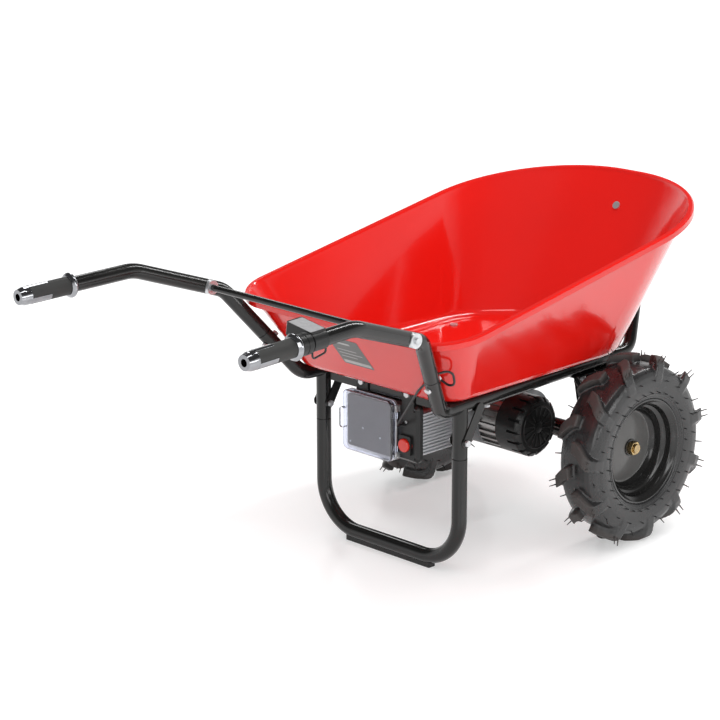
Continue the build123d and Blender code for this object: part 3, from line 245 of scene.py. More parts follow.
finishes = {
    "tubPaint": {"color": (0.74, 0.010, 0.006), "shade": (0.68, 0.008, 0.005), "patch": 0.35,
                 "rough": (0.12, 0.18), "coat": 0.3, "relief": "peel", "grain": 0.0025,
                 "depth": 0.00002},
    "framePaint": {"color": (0.007, 0.007, 0.007), "shade": (0.011, 0.011, 0.010), "patch": 0.08,
                   "rough": (0.16, 0.24), "coat": 0.1, "shine": 0.36, "relief": "peel", "grain": 0.0016,
                   "depth": 0.00003},
    "wheelPaint": {"color": (0.010, 0.010, 0.010), "shade": (0.015, 0.0145, 0.014), "patch": 0.06,
                   "rough": (0.14, 0.22), "coat": 0.1, "shine": 0.4, "relief": "peel", "grain": 0.002,
                   "depth": 0.00003,
                   # painted light on the black rim: the lighter grey disc inside 78 mm is a painted reflection,
                   # and the pale band on the rolled lip is a painted highlight
                   "rings": [{"from": 0.0792, "to": 0.0778, "color": (0.115, 0.113, 0.110), "rough": 0.3},
                             {"from": 0.1112, "to": 0.1122, "color": (0.085, 0.085, 0.085), "rough": 0.24}]},
    "tyreRubber": {"color": (0.015, 0.015, 0.016), "shade": (0.026, 0.026, 0.026), "patch": 0.05,
                   "rough": (0.22, 0.34), "shine": 0.5, "relief": "grit", "grain": 0.003,
                   "depth": 0.0003,
                   # painted reflection: the lighter, reddish-brown tone beyond 188 mm from the axle stands in for
                   # the red tub reflected in the lug tops
                   "rings": [{"from": 0.188, "to": 0.196, "color": (0.046, 0.040, 0.038), "rough": 0.62}]},
    "gripRubber": {"color": (0.017, 0.017, 0.016), "shade": (0.026, 0.026, 0.025), "patch": 0.03,
                   "rough": (0.55, 0.7), "relief": "dimples", "grain": 0.0016, "depth": 0.0003},
    "leadRubber": {"color": (0.010, 0.010, 0.010), "shade": (0.016, 0.016, 0.016), "patch": 0.03,
                   "rough": (0.4, 0.5), "relief": "grit", "grain": 0.001, "depth": 0.00005},
    "plating": {"color": (0.34, 0.345, 0.36), "shade": (0.27, 0.275, 0.29), "patch": 0.03,
                "rough": (0.08, 0.16), "metal": 1.0, "relief": "peel", "grain": 0.004,
                "depth": 0.00001},
    "zinc": {"color": (0.68, 0.69, 0.71), "shade": (0.52, 0.53, 0.54), "patch": 0.012,
             "rough": (0.3, 0.44), "metal": 0.75, "relief": "grit", "grain": 0.0012, "depth": 0.00004},
    "yellowZinc": {"color": (0.52, 0.37, 0.16), "shade": (0.36, 0.28, 0.17), "patch": 0.008,
                   "rough": (0.2, 0.34), "metal": 1.0, "relief": "grit", "grain": 0.0012,
                   "depth": 0.00004},
    "plainSteel": {"color": (0.5, 0.51, 0.53), "shade": (0.4, 0.41, 0.42), "patch": 0.02,
                   "rough": (0.28, 0.4), "metal": 1.0, "relief": "brushY", "grain": 0.0008,
                   "depth": 0.00003},
    "bareAluminium": {"color": (0.6, 0.61, 0.63), "shade": (0.5, 0.51, 0.53), "patch": 0.04,
                      "rough": (0.3, 0.42), "metal": 1.0, "relief": "brushX", "grain": 0.0008,
                      "depth": 0.00004},
    # painted shade: a darker copy of the bare aluminium for the motor fins, which sit in shade under the tub
    "finMetalPaintedShade": {"color": (0.40, 0.39, 0.385), "shade": (0.30, 0.295, 0.29), "patch": 0.04,
                 "rough": (0.26, 0.38), "metal": 1.0, "relief": "brushY", "grain": 0.0008,
                 "depth": 0.00004},
    "castMetal": {"color": (0.20, 0.205, 0.21), "shade": (0.14, 0.145, 0.15), "patch": 0.03,
                  "rough": (0.45, 0.6), "metal": 1.0, "relief": "grit", "grain": 0.002,
                  "depth": 0.0002},
    "blackPlastic": {"color": (0.010, 0.010, 0.010), "shade": (0.016, 0.016, 0.016), "patch": 0.05,
                     "rough": (0.28, 0.4), "shine": 0.32, "relief": "grit", "grain": 0.0009,
                     "depth": 0.00008},
    "switchPlastic": {"color": (0.72, 0.025, 0.012), "shade": (0.62, 0.02, 0.01), "patch": 0.02,
                      "rough": (0.2, 0.28), "coat": 0.3, "relief": "peel", "grain": 0.002,
                      "depth": 0.00001},
    "panelPlastic": {"color": (0.25, 0.235, 0.225), "shade": (0.21, 0.20, 0.19), "patch": 0.05,
                     "rough": (0.45, 0.55), "relief": "grit", "grain": 0.0009, "depth": 0.00006},
    "packWrap": {"color": (0.05, 0.08, 0.2), "shade": (0.04, 0.06, 0.16), "patch": 0.03,
                 "rough": (0.3, 0.4), "relief": "peel", "grain": 0.004, "depth": 0.0001},
    "labelSilver": {"color": (0.5, 0.5, 0.51), "shade": (0.38, 0.38, 0.39), "patch": 0.01,
                    "rough": (0.3, 0.45), "metal": 0.4, "relief": "grit", "grain": 0.001,
                    "depth": 0.00002},
    "stickerPale": {"color": (0.42, 0.42, 0.41), "shade": (0.36, 0.36, 0.355), "patch": 0.01,
                    "rough": (0.3, 0.4), "coat": 0.3, "relief": "peel", "grain": 0.003,
                    "depth": 0.00001},
    "stickerGrey": {"color": (0.055, 0.055, 0.054), "shade": (0.075, 0.075, 0.073), "patch": 0.02,
                    "rough": (0.3, 0.4), "coat": 0.3, "relief": "peel", "grain": 0.003,
                    "depth": 0.00001},
}
finishBase = {"coatRough": 0.04, "shine": 0.5, "contrast": 2.2, "bump": 0.6}


def addPaintedLightRing(tree, ring, tone, dullness):  # painted reflection and highlight: another tone on one side of a circle about the axle
    band = tree.nodes.new("ShaderNodeGroup")
    band.node_tree = effects["ring"]
    band.inputs["From"].default_value, band.inputs["To"].default_value = ring["from"], ring["to"]
    color, rough = tree.nodes.new("ShaderNodeMix"), tree.nodes.new("ShaderNodeMix")
    color.data_type = "RGBA"
    color.inputs[7].default_value = (*ring["color"], 1)
    rough.inputs[3].default_value = ring["rough"]
    tree.links.new(band.outputs["Mask"], color.inputs[0])
    tree.links.new(band.outputs["Mask"], rough.inputs[0])
    tree.links.new(tone, color.inputs[6])
    tree.links.new(dullness, rough.inputs[2])
    return color.outputs[2], rough.outputs[0]


def makeFinish(name, spec):
    material = bpy.data.materials.new(name)
    material.use_nodes = True
    tree = material.node_tree
    shader = tree.nodes["Principled BSDF"]
    shader.inputs["Metallic"].default_value = spec.get("metal", 0.0)
    shader.inputs["Coat Weight"].default_value = spec.get("coat", 0.0)
    shader.inputs["Coat Roughness"].default_value = finishBase["coatRough"]
    shader.inputs["Specular IOR Level"].default_value = spec.get("shine", finishBase["shine"])
    patches = tree.nodes.new("ShaderNodeGroup")
    patches.node_tree = effects["mottle"]
    patches.inputs["Size"].default_value = spec["patch"]
    patches.inputs["Contrast"].default_value = finishBase["contrast"]
    blendTone = tree.nodes.new("ShaderNodeMix")
    blendTone.data_type = "RGBA"
    blendTone.inputs[6].default_value = (*spec["color"], 1)
    blendTone.inputs[7].default_value = (*spec["shade"], 1)
    tree.links.new(patches.outputs["Mask"], blendTone.inputs[0])
    tone = blendTone.outputs[2]
    gloss = tree.nodes.new("ShaderNodeMapRange")
    gloss.inputs["To Min"].default_value, gloss.inputs["To Max"].default_value = spec["rough"]
    tree.links.new(patches.outputs["Mask"], gloss.inputs["Value"])
    dullness = gloss.outputs["Result"]
    # painted reflections and highlights in bands about the wheel axle
    for ring in spec.get("rings", []):
        tone, dullness = addPaintedLightRing(tree, ring, tone, dullness)
    tree.links.new(tone, shader.inputs["Base Color"])
    tree.links.new(dullness, shader.inputs["Roughness"])
    relief = tree.nodes.new("ShaderNodeGroup")
    relief.node_tree = effects[spec["relief"]]
    relief.inputs["Size"].default_value = spec["grain"]
    bump = tree.nodes.new("ShaderNodeBump")
    bump.inputs["Strength"].default_value = finishBase["bump"]
    bump.inputs["Distance"].default_value = spec["depth"]
    tree.links.new(relief.outputs["Height"], bump.inputs["Height"])
    tree.links.new(bump.outputs["Normal"], shader.inputs["Normal"])
    return material


clears = {"clearPlastic": {"color": (0.85, 0.87, 0.96), "rough": (0.02, 0.06), "through": 1.0},
          "frostedPlastic": {"color": (0.9, 0.91, 0.93), "rough": (0.18, 0.3), "through": 0.75}}
clearBase = {"ior": 1.47, "patch": 0.02}


def makeClear(name, spec):
    material = bpy.data.materials.new(name)
    material.use_nodes = True
    tree = material.node_tree
    shader = tree.nodes["Principled BSDF"]
    shader.inputs["Base Color"].default_value = (*spec["color"], 1)
    shader.inputs["Transmission Weight"].default_value = spec["through"]
    shader.inputs["IOR"].default_value = clearBase["ior"]
    scuffs = tree.nodes.new("ShaderNodeGroup")
    scuffs.node_tree = effects["mottle"]
    scuffs.inputs["Size"].default_value = clearBase["patch"]
    gloss = tree.nodes.new("ShaderNodeMapRange")
    gloss.inputs["To Min"].default_value, gloss.inputs["To Max"].default_value = spec["rough"]
    tree.links.new(scuffs.outputs["Mask"], gloss.inputs["Value"])
    tree.links.new(gloss.outputs["Result"], shader.inputs["Roughness"])
    return material


paints = {name: makeFinish(name, spec) for name, spec in finishes.items()}
paints.update({name: makeClear(name, spec) for name, spec in clears.items()})
print("materials made:", len(paints))


# modelling helpers
def deselect():
    if bpy.context.object and bpy.context.object.mode != "OBJECT":
        bpy.ops.object.mode_set(mode="OBJECT")
    bpy.ops.object.select_all(action="DESELECT")


def pick(piece):
    deselect()
    piece.select_set(True)
    bpy.context.view_layer.objects.active = piece


def edit(piece):
    pick(piece)
    bpy.ops.object.mode_set(mode="EDIT")
    bpy.ops.mesh.select_all(action="SELECT")


def applyModifier(piece, kind, **settings):
    pick(piece)
    modifier = piece.modifiers.new(kind.lower(), kind)
    for key, value in settings.items():
        setattr(modifier, key, value)
    bpy.ops.object.modifier_apply(modifier=modifier.name)


def smooth(piece, angle=32):
    pick(piece)
    bpy.ops.object.shade_smooth_by_angle(angle=math.radians(angle))


def settle(piece, name, finish, body):
    pick(piece)
    bpy.ops.object.transform_apply(location=True, rotation=True, scale=True)
    piece.name = name
    piece.data.materials.clear()
    piece.data.materials.append(paints[finish])
    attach(piece, body)


def joinAll(pieces):
    deselect()
    for piece in pieces:
        piece.select_set(True)
    bpy.context.view_layer.objects.active = pieces[0]
    bpy.ops.object.join()
    return pieces[0]


dressing = {"merge": 2e-6, "flat": 0.4, "weight": 80}


def dressNode(node, finish, bevel=0.0, segments=2, angle=32):  # a merged copy, with softened edges
    piece = bpy.data.objects.new(node + "Skin", nodes[node].data.copy())
    bpy.context.scene.collection.objects.link(piece)
    edit(piece)
    bpy.ops.mesh.remove_doubles(threshold=dressing["merge"])
    bpy.ops.mesh.dissolve_limited(angle_limit=math.radians(dressing["flat"]))
    deselect()
    if bevel:
        applyModifier(piece, "BEVEL", width=bevel, segments=segments, limit_method="ANGLE",
                      angle_limit=math.radians(angle), use_clamp_overlap=True)
    smooth(piece, angle)
    applyModifier(piece, "WEIGHTED_NORMAL", keep_sharp=True, weight=dressing["weight"])
    settle(piece, node + "Skin", finish, bodyOf[node])
    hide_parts(node)


def makeHoop(at, aim, radius, thick, around=96, across=10):
    bpy.ops.mesh.primitive_torus_add(major_radius=radius, minor_radius=thick, major_segments=around,
                                     minor_segments=across, location=at,
                                     rotation=aim.to_track_quat("Z", "Y").to_euler())
    bpy.ops.object.shade_smooth()
    return bpy.context.object


smallPart = {"bevelShare": 0.35, "crease": 40}


def makeBlock(at, along, aim, size, bevel):  # a box on a face, its first side along one way
    turn = Matrix((along, aim.cross(along), aim)).transposed()
    bpy.ops.mesh.primitive_cube_add(size=1, location=at, rotation=turn.to_euler())
    piece = bpy.context.object
    piece.scale = size
    pick(piece)
    bpy.ops.object.transform_apply(location=True, rotation=True, scale=True)
    applyModifier(piece, "BEVEL", width=bevel, segments=2, limit_method="ANGLE")
    smooth(piece, smallPart["crease"])
    return piece


def makeDot(at, aim, radius, height, sides=16):  # a low head, round or with flats
    bpy.ops.mesh.primitive_cylinder_add(vertices=sides, radius=radius, depth=height, location=at,
                                        rotation=aim.to_track_quat("Z", "Y").to_euler())
    piece = bpy.context.object
    applyModifier(piece, "BEVEL", width=height * smallPart["bevelShare"], segments=2, limit_method="ANGLE")
    smooth(piece, smallPart["crease"])
    return piece


# the rigid pieces keep their solids' shape
skins = {
    "tub": {"finish": "tubPaint"},
    "rail_left": {"finish": "framePaint", "bevel": 0.0006},
    "rail_right": {"finish": "framePaint", "bevel": 0.0006},
    "front_hoop": {"finish": "framePaint"},
    "handle_tube_left": {"finish": "framePaint", "bevel": 0.0006},
    "handle_tube_right": {"finish": "framePaint", "bevel": 0.0006},
    "crossbar": {"finish": "framePaint", "bevel": 0.0006},
    "leg_socket_left": {"finish": "framePaint", "bevel": 0.0008},
    "leg_socket_right": {"finish": "framePaint", "bevel": 0.0008},
    "u_leg": {"finish": "framePaint", "bevel": 0.0008},
    "leg_braces": {"finish": "framePaint", "bevel": 0.0008},
    "foot_skid": {"finish": "framePaint", "bevel": 0.0012},
    "axle_tube_left": {"finish": "framePaint", "bevel": 0.0006},
    "axle_tube_right": {"finish": "framePaint", "bevel": 0.0006},
    "axle_hanger_left": {"finish": "framePaint", "bevel": 0.0008},
    "axle_hanger_right": {"finish": "framePaint", "bevel": 0.0008},
    "cross_channels": {"finish": "framePaint", "bevel": 0.0008},
    "crossbar_saddles": {"finish": "zinc", "bevel": 0.0008},
    "tub_bolts": {"finish": "zinc", "bevel": 0.0012, "segments": 3},
    "handle_bolts": {"finish": "zinc", "bevel": 0.0007},
    "leg_bolts": {"finish": "zinc", "bevel": 0.0007},
    "hanger_bolts": {"finish": "zinc", "bevel": 0.0007},
    "box_bolts": {"finish": "zinc", "bevel": 0.0007},
    "hub_nut_left": {"finish": "yellowZinc", "bevel": 0.0008},
    "hub_nut_right": {"finish": "yellowZinc", "bevel": 0.0008},
    "half_shaft_left": {"finish": "yellowZinc", "bevel": 0.001},
    "half_shaft_right": {"finish": "yellowZinc", "bevel": 0.001},
    "gearbox_case": {"finish": "castMetal", "bevel": 0.002},
    "gearbox_cover": {"finish": "castMetal", "bevel": 0.001},
    # the motor fins wear the darker aluminium, which is painted shade
    "motor_body": {"finish": "finMetalPaintedShade", "bevel": 0.0006},
    "motor_cap": {"finish": "blackPlastic", "bevel": 0.0012},
    "box_shell": {"finish": "bareAluminium", "bevel": 0.0005},
    "box_rear_plate": {"finish": "blackPlastic", "bevel": 0.0015, "segments": 3},
    "box_front_plate": {"finish": "blackPlastic", "bevel": 0.0015, "segments": 3},
    "cover": {"finish": "clearPlastic", "bevel": 0.0012, "segments": 3},
    "cover_frame": {"finish": "frostedPlastic", "bevel": 0.001},
    "switch_bezel": {"finish": "blackPlastic", "bevel": 0.0008},
    "switch_button": {"finish": "switchPlastic", "bevel": 0.0012, "segments": 3},
    "tub_washers": {"finish": "gripRubber"},
    "cable_gland": {"finish": "blackPlastic", "bevel": 0.0005},
    "left_grip": {"finish": "gripRubber", "bevel": 0.0006},
    "throttle_grip": {"finish": "gripRubber", "bevel": 0.0006},
    "left_grip_trim": {"finish": "plating", "bevel": 0.0008, "segments": 3},
    "throttle_grip_trim": {"finish": "plating", "bevel": 0.0008, "segments": 3},
    "throttle_housing": {"finish": "blackPlastic", "bevel": 0.0008},
    "control_box": {"finish": "blackPlastic", "bevel": 0.0015, "segments": 3},
}
for node, look in skins.items():
    dressNode(node, **look)
innerLooks = {"motor_rotor": "plainSteel", "counter_gear": "plainSteel", "final_gear": "plainSteel",
              "motor_stator": "castMetal", "shaft_bearings": "plainSteel", "battery_pack": "packWrap",
              "motor_controller": "castMetal", "cover_pin": "plainSteel"}
for node, finish in innerLooks.items():
    nodes[node].data.materials.clear()
    nodes[node].data.materials.append(paints[finish])
print("solids dressed:", len(skins))


# wheels: each tyre is a spun body with moulded lugs, melted into one skin
# half: across, radius; lug rows: across, trail, top, base, width
wheelSides = {"left": 1, "right": -1}
tyre = {"steps": 80, "voxel": 0.0023, "relax": 2, "relaxShare": 0.5, "lugsPerSide": 11,
        "half": [(0.0345, 0.1022), (0.0392, 0.1118), (0.0394, 0.1140), (0.0408, 0.1153), (0.0440, 0.1164),
                 (0.0452, 0.1190), (0.0449, 0.1212), (0.0468, 0.1232), (0.0486, 0.1290), (0.0499, 0.1400),
                 (0.0501, 0.1530), (0.0482, 0.1655), (0.0441, 0.1750), (0.0375, 0.1810), (0.0270, 0.1838),
                 (0.0130, 0.1848)],
        "lug": [(0.0010, 0.0165, 0.2029, 0.178, 0.0265), (0.0090, 0.0152, 0.2030, 0.178, 0.0275),
                (0.0180, 0.0098, 0.2030, 0.178, 0.0285), (0.0265, 0.0012, 0.2028, 0.177, 0.0295),
                (0.0345, -0.0075, 0.2016, 0.172, 0.0298), (0.0415, -0.0135, 0.1975, 0.166, 0.0288),
                (0.0470, -0.0160, 0.1890, 0.158, 0.0262), (0.0506, -0.0168, 0.1740, 0.150, 0.0210)],
        "bead": {"thick": 0.0012, "hoops": [(0.0449, 0.1206), (0.0472, 0.1258)]},
        "hair": {"sides": 4, "thick": 0.0017, "tip": 0.0010, "sunk": 0.003, "overFloor": 0.003},
        "lugHair": {"across": 0.0445, "radius": 0.1935, "apart": 0.0065, "trail": 0.0148, "lean": 0.35,
                    "long": 0.014},
        "gapHair": {"across": 0.0440, "radius": 0.1740, "lean": 0.9, "long": 0.012, "share": 0.42},
        "sideHair": {"across": 0.0485, "share": 0.3,
                     "rows": [{"radius": 0.1560, "count": 22, "long": 0.006},
                              {"radius": 0.1290, "count": 33, "long": 0.005}]}}


def spinSection(points, middle, steps, merge=1e-5):  # a closed outline turned about the axle
    bpy.ops.mesh.primitive_circle_add(vertices=len(points))
    piece = bpy.context.object
    for corner, (across, radius) in zip(piece.data.vertices, points):
        corner.co = middle + Vector((0, across, radius))
    edit(piece)
    bpy.ops.mesh.spin(steps=steps, angle=math.tau, center=middle, axis=(0, 1, 0))
    bpy.ops.mesh.select_all(action="SELECT")
    bpy.ops.mesh.remove_doubles(threshold=merge)
    bpy.ops.mesh.normals_make_consistent(inside=False)
    deselect()
    return piece


def makeLug(middle, side):  # one lug, drawn out from the tread's middle to the wall
    across, trail, top, base, width = tyre["lug"][0]
    at = middle + Vector((trail, side * across, (top + base) / 2))
    bpy.ops.mesh.primitive_plane_add(size=1, location=at, rotation=(math.pi / 2, 0, 0))
    piece = bpy.context.object
    bpy.ops.object.transform_apply(location=True, rotation=True, scale=True)
    edit(piece)
    bpy.ops.transform.resize(value=(width, 1, top - base), center_override=at)
    size = (width, top - base)
    for across, trail, top, base, width in tyre["lug"][1:]:
        goal = middle + Vector((trail, side * across, (top + base) / 2))
        bpy.ops.mesh.extrude_region_move(TRANSFORM_OT_translate={"value": goal - at})
        bpy.ops.transform.resize(value=(width / size[0], 1, (top - base) / size[1]), center_override=goal)
        at, size = goal, (width, top - base)
    bpy.ops.mesh.select_all(action="SELECT")
    bpy.ops.mesh.normals_make_consistent(inside=False)
    deselect()
    return piece


def turnAbout(middle, angle):
    return Matrix.Translation(middle) @ Matrix.Rotation(angle, 4, "Y") @ Matrix.Translation(-middle)


def repeatRound(piece, middle, angles):
    copies = []
    for angle in angles:
        copy = bpy.data.objects.new(piece.name, piece.data.copy())
        bpy.context.scene.collection.objects.link(copy)
        copy.matrix_world = turnAbout(middle, angle)
        copies.append(copy)
    bpy.data.objects.remove(piece)
    return copies


def makeHair(root, aim, length):  # none where the tip would reach the floor
    hair = tyre["hair"]
    tip = root + aim.normalized() * length
    if tip.z < hair["overFloor"]:
        return []
    bpy.ops.mesh.primitive_cone_add(vertices=hair["sides"], radius1=hair["thick"], radius2=hair["tip"],
                                    depth=length + hair["sunk"], location=(root + tip) / 2,
                                    rotation=aim.to_track_quat("Z", "Y").to_euler())
    return [bpy.context.object]


def wheelMiddle(name):
    low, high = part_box("tyre_" + name)
    return Vector((jointAt["wheel_left_spin"].x, (low[1] + high[1]) / 2, jointAt["wheel_left_spin"].z))


def lugTurns(side, hand):  # the two rows of lugs stand half a step apart
    step = math.tau / tyre["lugsPerSide"]
    shift = step / 2 if hand == side else 0
    return [shift + step * k for k in range(tyre["lugsPerSide"])]


def makeTyre(name, side):
    middle = wheelMiddle(name)
    half = tyre["half"]
    body = spinSection(half + [(-a, r) for a, r in reversed(half)], middle, tyre["steps"])
    lugs = []
    for hand in (1, -1):
        lugs += repeatRound(makeLug(middle, hand), middle, lugTurns(side, hand))
    body = joinAll([body] + lugs)
    applyModifier(body, "REMESH", mode="VOXEL", voxel_size=tyre["voxel"])
    applyModifier(body, "SMOOTH", factor=tyre["relaxShare"], iterations=tyre["relax"])
    pick(body)
    bpy.ops.object.shade_smooth()
    settle(body, "tyreSkin." + name, "tyreRubber", "wheel_" + name)
    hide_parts("tyre_" + name)
    print("tyre", name, "faces:", len(body.data.polygons))


def makeTyreHairs(name, side):  # hairs on lugs, gaps and walls, and ridges at the bead
    middle = wheelMiddle(name)
    lugHair, gapHair, sideHair = tyre["lugHair"], tyre["gapHair"], tyre["sideHair"]
    gapTurn = gapHair["share"] * math.tau / tyre["lugsPerSide"]
    hairs = []
    for hand in (1, -1):
        for turn in lugTurns(side, hand):
            spot = turnAbout(middle, turn)
            aim = spot.to_3x3() @ Vector((0, hand * lugHair["lean"], 1))
            for offset in (-lugHair["apart"], lugHair["apart"]):
                root = Vector((offset - lugHair["trail"], hand * lugHair["across"], lugHair["radius"]))
                hairs += makeHair(spot @ (middle + root), aim, lugHair["long"])
            spot = turnAbout(middle, turn + gapTurn)
            aim = spot.to_3x3() @ Vector((0, hand * gapHair["lean"], 1))
            root = Vector((0, hand * gapHair["across"], gapHair["radius"]))
            hairs += makeHair(spot @ (middle + root), aim, gapHair["long"])
        for row in sideHair["rows"]:
            for k in range(row["count"]):
                spot = turnAbout(middle, math.tau * (k + sideHair["share"]) / row["count"])
                root = Vector((0, hand * sideHair["across"], row["radius"]))
                hairs += makeHair(spot @ (middle + root), Vector((0, hand, 0)), row["long"])
        for across, radius in tyre["bead"]["hoops"]:
            at = middle + Vector((0, hand * across, 0))
            hairs.append(makeHoop(at, Vector((0, 1, 0)), radius, tyre["bead"]["thick"]))
    settle(joinAll(hairs), "tyreHairs." + name, "tyreRubber", "wheel_" + name)


# pressed rim, from the rolled lip over two steps to the dished disc
rim = {"steps": 96, "crease": 38,
       "tyreSide": [(-0.0420, 0.1140), (-0.0390, 0.1140), (-0.0390, 0.1016), (0.0322, 0.1016),
                    (0.0350, 0.1046), (0.0388, 0.1104), (0.0390, 0.1134)],
       "lip": [(0.0399, 0.1141), (0.0412, 0.1141), (0.0424, 0.1133), (0.0429, 0.1119), (0.0426, 0.1106),
               (0.0416, 0.1096), (0.0400, 0.1081), (0.0379, 0.1056), (0.0360, 0.1026), (0.0342, 0.1003),
               (0.0318, 0.0990), (0.0290, 0.0986)],
       "outerStep": [(0.0220, 0.0985), (0.0196, 0.0980), (0.0180, 0.0966), (0.0168, 0.0942),
                     (0.0154, 0.0914), (0.0140, 0.0897), (0.0120, 0.0888), (0.0098, 0.0885)],
       "innerStep": [(0.0020, 0.0883), (-0.0008, 0.0878), (-0.0032, 0.0865), (-0.0070, 0.0834),
                     (-0.0100, 0.0806), (-0.0117, 0.0782), (-0.0119, 0.0756), (-0.0112, 0.0726)],
       "hub": [(0.0004, 0.0226), (0.0010, 0.0210), (0.0010, 0.0100), (-0.0500, 0.0100), (-0.0500, 0.0210),
               (-0.0021, 0.0210)],
       "back": [(-0.0155, 0.0780), (-0.0155, 0.0986), (-0.0420, 0.0986)],
       "washer": {"radius": 0.0188, "height": 0.0034, "out": 0.001, "sides": 48}}


def makeRim(name, side):
    middle = wheelMiddle(name)
    section = rim["tyreSide"] + rim["lip"] + rim["outerStep"] + rim["innerStep"] + rim["hub"] + rim["back"]
    piece = spinSection([(side * across, radius) for across, radius in section], middle, rim["steps"])
    smooth(piece, rim["crease"])
    settle(piece, "rimSkin." + name, "wheelPaint", "wheel_" + name)
    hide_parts("rim_" + name)
    washer = rim["washer"]
    out = Vector((0, side, 0))
    piece = makeDot(middle + out * (washer["out"] + washer["height"] / 2), out, washer["radius"],
                    washer["height"], washer["sides"])
    settle(piece, "hubWasher." + name, "framePaint", "wheel_" + name)


for name, side in wheelSides.items():
    makeTyre(name, side)
    makeTyreHairs(name, side)
    makeRim(name, side)
print("wheels made")


# battery box details: small screws on the inner panel and on the rear plate, and the lead
panel = {"screw": {"radius": 0.0022, "height": 0.0016, "proud": 0.0004},
         "screws": [(0.103, 0.2285), (0.0655, 0.265), (0.015, 0.254)],
         "plateScrew": {"radius": 0.0032, "height": 0.0026, "proud": 0.0005},
         "plateScrews": [(-0.0505, 0.3015, "zinc", "zinc"),
                         (-0.074, 0.224, "blackPlastic", "black_plastic"),
                         (-0.072, 0.328, "blackPlastic", "black_plastic")]}


def makeBoxScrew(node, y, z, screw):  # on the node's rear face
    at = Vector((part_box(node)[0][0] - screw["proud"], y, z))
    return makeDot(at, Vector((-1, 0, 0)), screw["radius"], screw["height"])


dressNode("inner_panel", "panelPlastic", bevel=0.0005)
screws = [makeBoxScrew("inner_panel", y, z, panel["screw"]) for y, z in panel["screws"]]
settle(joinAll(screws), "panelScrews", "zinc", "frame")
for number, (y, z, finish, slot) in enumerate(panel["plateScrews"]):
    screw = makeBoxScrew("box_rear_plate", y, z, panel["plateScrew"])
    settle(screw, "plateScrew." + str(number), finish, "frame")
dressNode("control_lead", "leadRubber", angle=70)
print("box details made")


# ribbed front of the motor cap; hoop: radius, thickness; boss: radius, height, sides
cap = {"blocks": 16, "blockAt": (0.0605, 0.0055), "blockSize": (0.0165, 0.013, 0.004), "blockBevel": 0.0008,
       "ribAt": 0.0285, "ribSize": (0.0022, 0.029, 0.003), "ribBevel": 0.0006,
       "hoop": (0.046, 0.0016), "boss": (0.013, 0.004, 32)}


def makeCapFront(cap):
    middle = Vector((jointAt["rotor_spin"].x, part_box("motor_cap")[0][1], jointAt["rotor_spin"].z))
    out = Vector((0, -1, 0))
    pieces = [makeHoop(middle, out, *cap["hoop"]), makeDot(middle, out, *cap["boss"])]
    reach, back = cap["blockAt"]
    for k in range(cap["blocks"]):
        angle = math.tau * (k + 0.5) / cap["blocks"]
        ray = Vector((math.cos(angle), 0, math.sin(angle)))
        along = out.cross(ray)
        pieces.append(makeBlock(middle + ray * reach - out * back, along, (ray + out).normalized(),
                                cap["blockSize"], cap["blockBevel"]))
        pieces.append(makeBlock(middle + ray * cap["ribAt"], along, out, cap["ribSize"], cap["ribBevel"]))
    settle(joinAll(pieces), "motorCapRibs", "blackPlastic", bodyOf["motor_cap"])


makeCapFront(cap)


# bolt heads on the hanger plates; head and washer: radius, height, sides
hanger = {"spots": [(0.345, 0.3405), (0.4205, 0.3405)], "face": 0.196, "head": (0.0075, 0.0055, 6),
          "washer": (0.0098, 0.0016, 32)}


def makeHangerHeads(hanger):
    pieces = []
    for side in (1, -1):
        aim = Vector((0, side, 0))
        for x, z in hanger["spots"]:
            at = Vector((x, side * hanger["face"], z))
            for part in ("washer", "head"):
                height = hanger[part][1]
                pieces.append(makeDot(at + aim * height / 2, aim, *hanger[part]))
                at = at + aim * height
    settle(joinAll(pieces), "hangerHeads", "zinc", "frame")


makeHangerHeads(hanger)


# rounded bead on each grip's plated ring
gripBead = {"thick": 0.0046, "sink": 0.0026, "near": 0.001}


def makeGripBead(node, side):  # side -1 mirrors the throttle's axis to the left handle
    flip = Vector((1, side, 1))
    spot, along = jointAt["throttle_twist"] * flip, jointAxis["throttle_twist"] * flip
    reach = []
    for vertex in nodes[node].data.vertices:
        step = (vertex.co - spot).dot(along)
        reach.append((step, (vertex.co - spot - along * step).length))
    widest = max(radius for step, radius in reach)
    ring = [step for step, radius in reach if radius > widest - gripBead["near"]]
    at = spot + along * (min(ring) + max(ring)) / 2
    bead = makeHoop(at, along, widest - gripBead["sink"], gripBead["thick"])
    settle(bead, node + "Bead", "plating", bodyOf[node])


makeGripBead("throttle_grip_trim", 1)
makeGripBead("left_grip_trim", -1)
print("small parts made")


# label on the control box
label = {"size": (0.037, 0.058), "corner": 0.002, "lift": 0.0003, "facing": 0.9}


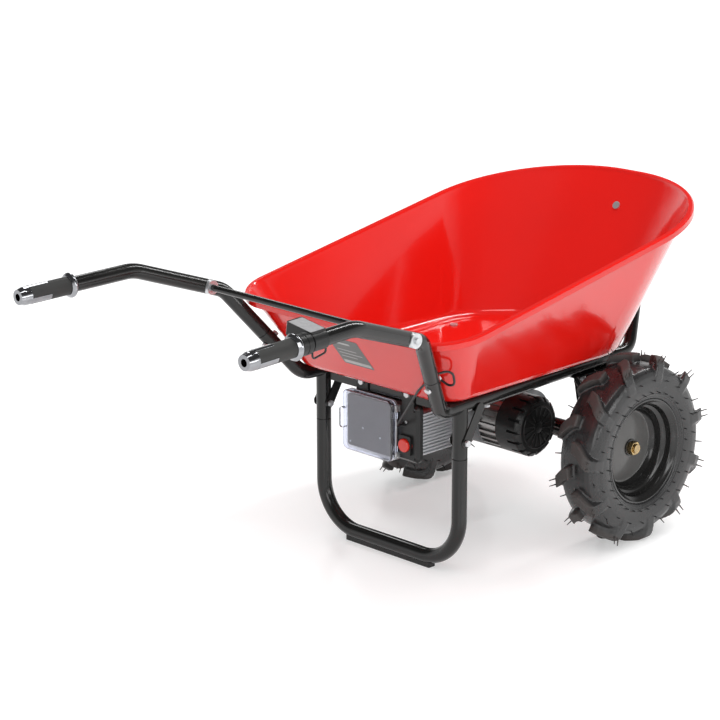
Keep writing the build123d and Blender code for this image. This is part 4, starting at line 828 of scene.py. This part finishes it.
def makeLabel(label):
    source = bpy.data.objects["control_boxSkin"]
    top = max((f for f in source.data.polygons if f.normal.z > label["facing"]), key=lambda f: f.area)
    along = jointAxis["throttle_twist"].copy()
    across = top.normal.cross(along).normalized()
    turn = Matrix((along, across, top.normal)).transposed()
    bpy.ops.mesh.primitive_plane_add(size=1, location=top.center + top.normal * label["lift"],
                                     rotation=turn.to_euler())
    piece = bpy.context.object
    piece.scale = (*label["size"], 1)
    pick(piece)
    bpy.ops.object.transform_apply(location=True, rotation=True, scale=True)
    edit(piece)
    bpy.ops.mesh.bevel(offset=label["corner"], segments=3, affect="VERTICES")
    deselect()
    settle(piece, "controlLabel", "labelSilver", "frame")


makeLabel(label)


# sticker on the tub's rear wall, with pale bars
sticker = {"right": -0.049, "wide": 0.086, "low": 0.035, "high": 0.106, "slant": 0.0187,
           "lift": 0.0003, "corner": 0.003, "facing": -0.8,
           "bars": [{"span": (0.05, 0.95), "low": 0.0385, "high": 0.0465},
                    {"span": (0.10, 0.62), "low": 0.0560, "high": 0.0580},
                    {"span": (0.10, 0.86), "low": 0.0650, "high": 0.0670},
                    {"span": (0.10, 0.74), "low": 0.0740, "high": 0.0760},
                    {"span": (0.22, 0.66), "low": 0.0905, "high": 0.0950}],
           "barLift": 0.0005, "barCorner": 0.0005}


def makePatch(span, low, high, lift, corner):  # on the tub's rear wall, span in shares of the sticker
    source = bpy.data.objects["tubSkin"]
    wall = max((f for f in source.data.polygons if f.normal.x < sticker["facing"]), key=lambda f: f.area)
    foot = min((source.data.vertices[v].co for v in wall.vertices), key=lambda place: place.z)
    rise = wall.normal.cross(Vector((0, 1, 0)))
    rise = rise if rise.z > 0 else -rise
    foot = Vector((foot.x, 0, foot.z)) + wall.normal * lift
    slope = sticker["slant"] / (sticker["high"] - sticker["low"])
    bpy.ops.mesh.primitive_plane_add(size=1)
    piece = bpy.context.object
    corners = [(span[0], low), (span[1], low), (span[0], high), (span[1], high)]
    for vertex, (share, height) in zip(piece.data.vertices, corners):
        side = sticker["right"] + (1 - share) * sticker["wide"] + slope * (height - sticker["low"])
        vertex.co = foot + Vector((0, side, 0)) + rise * height
    edit(piece)
    bpy.ops.mesh.bevel(offset=corner, segments=3, affect="VERTICES")
    deselect()
    return piece


settle(makePatch((0, 1), sticker["low"], sticker["high"], sticker["lift"], sticker["corner"]),
       "tubSticker", "stickerGrey", "frame")
bars = [makePatch(bar["span"], bar["low"], bar["high"], sticker["barLift"], sticker["barCorner"])
        for bar in sticker["bars"]]
settle(joinAll(bars), "tubStickerBars", "stickerPale", "frame")
print("labels made")
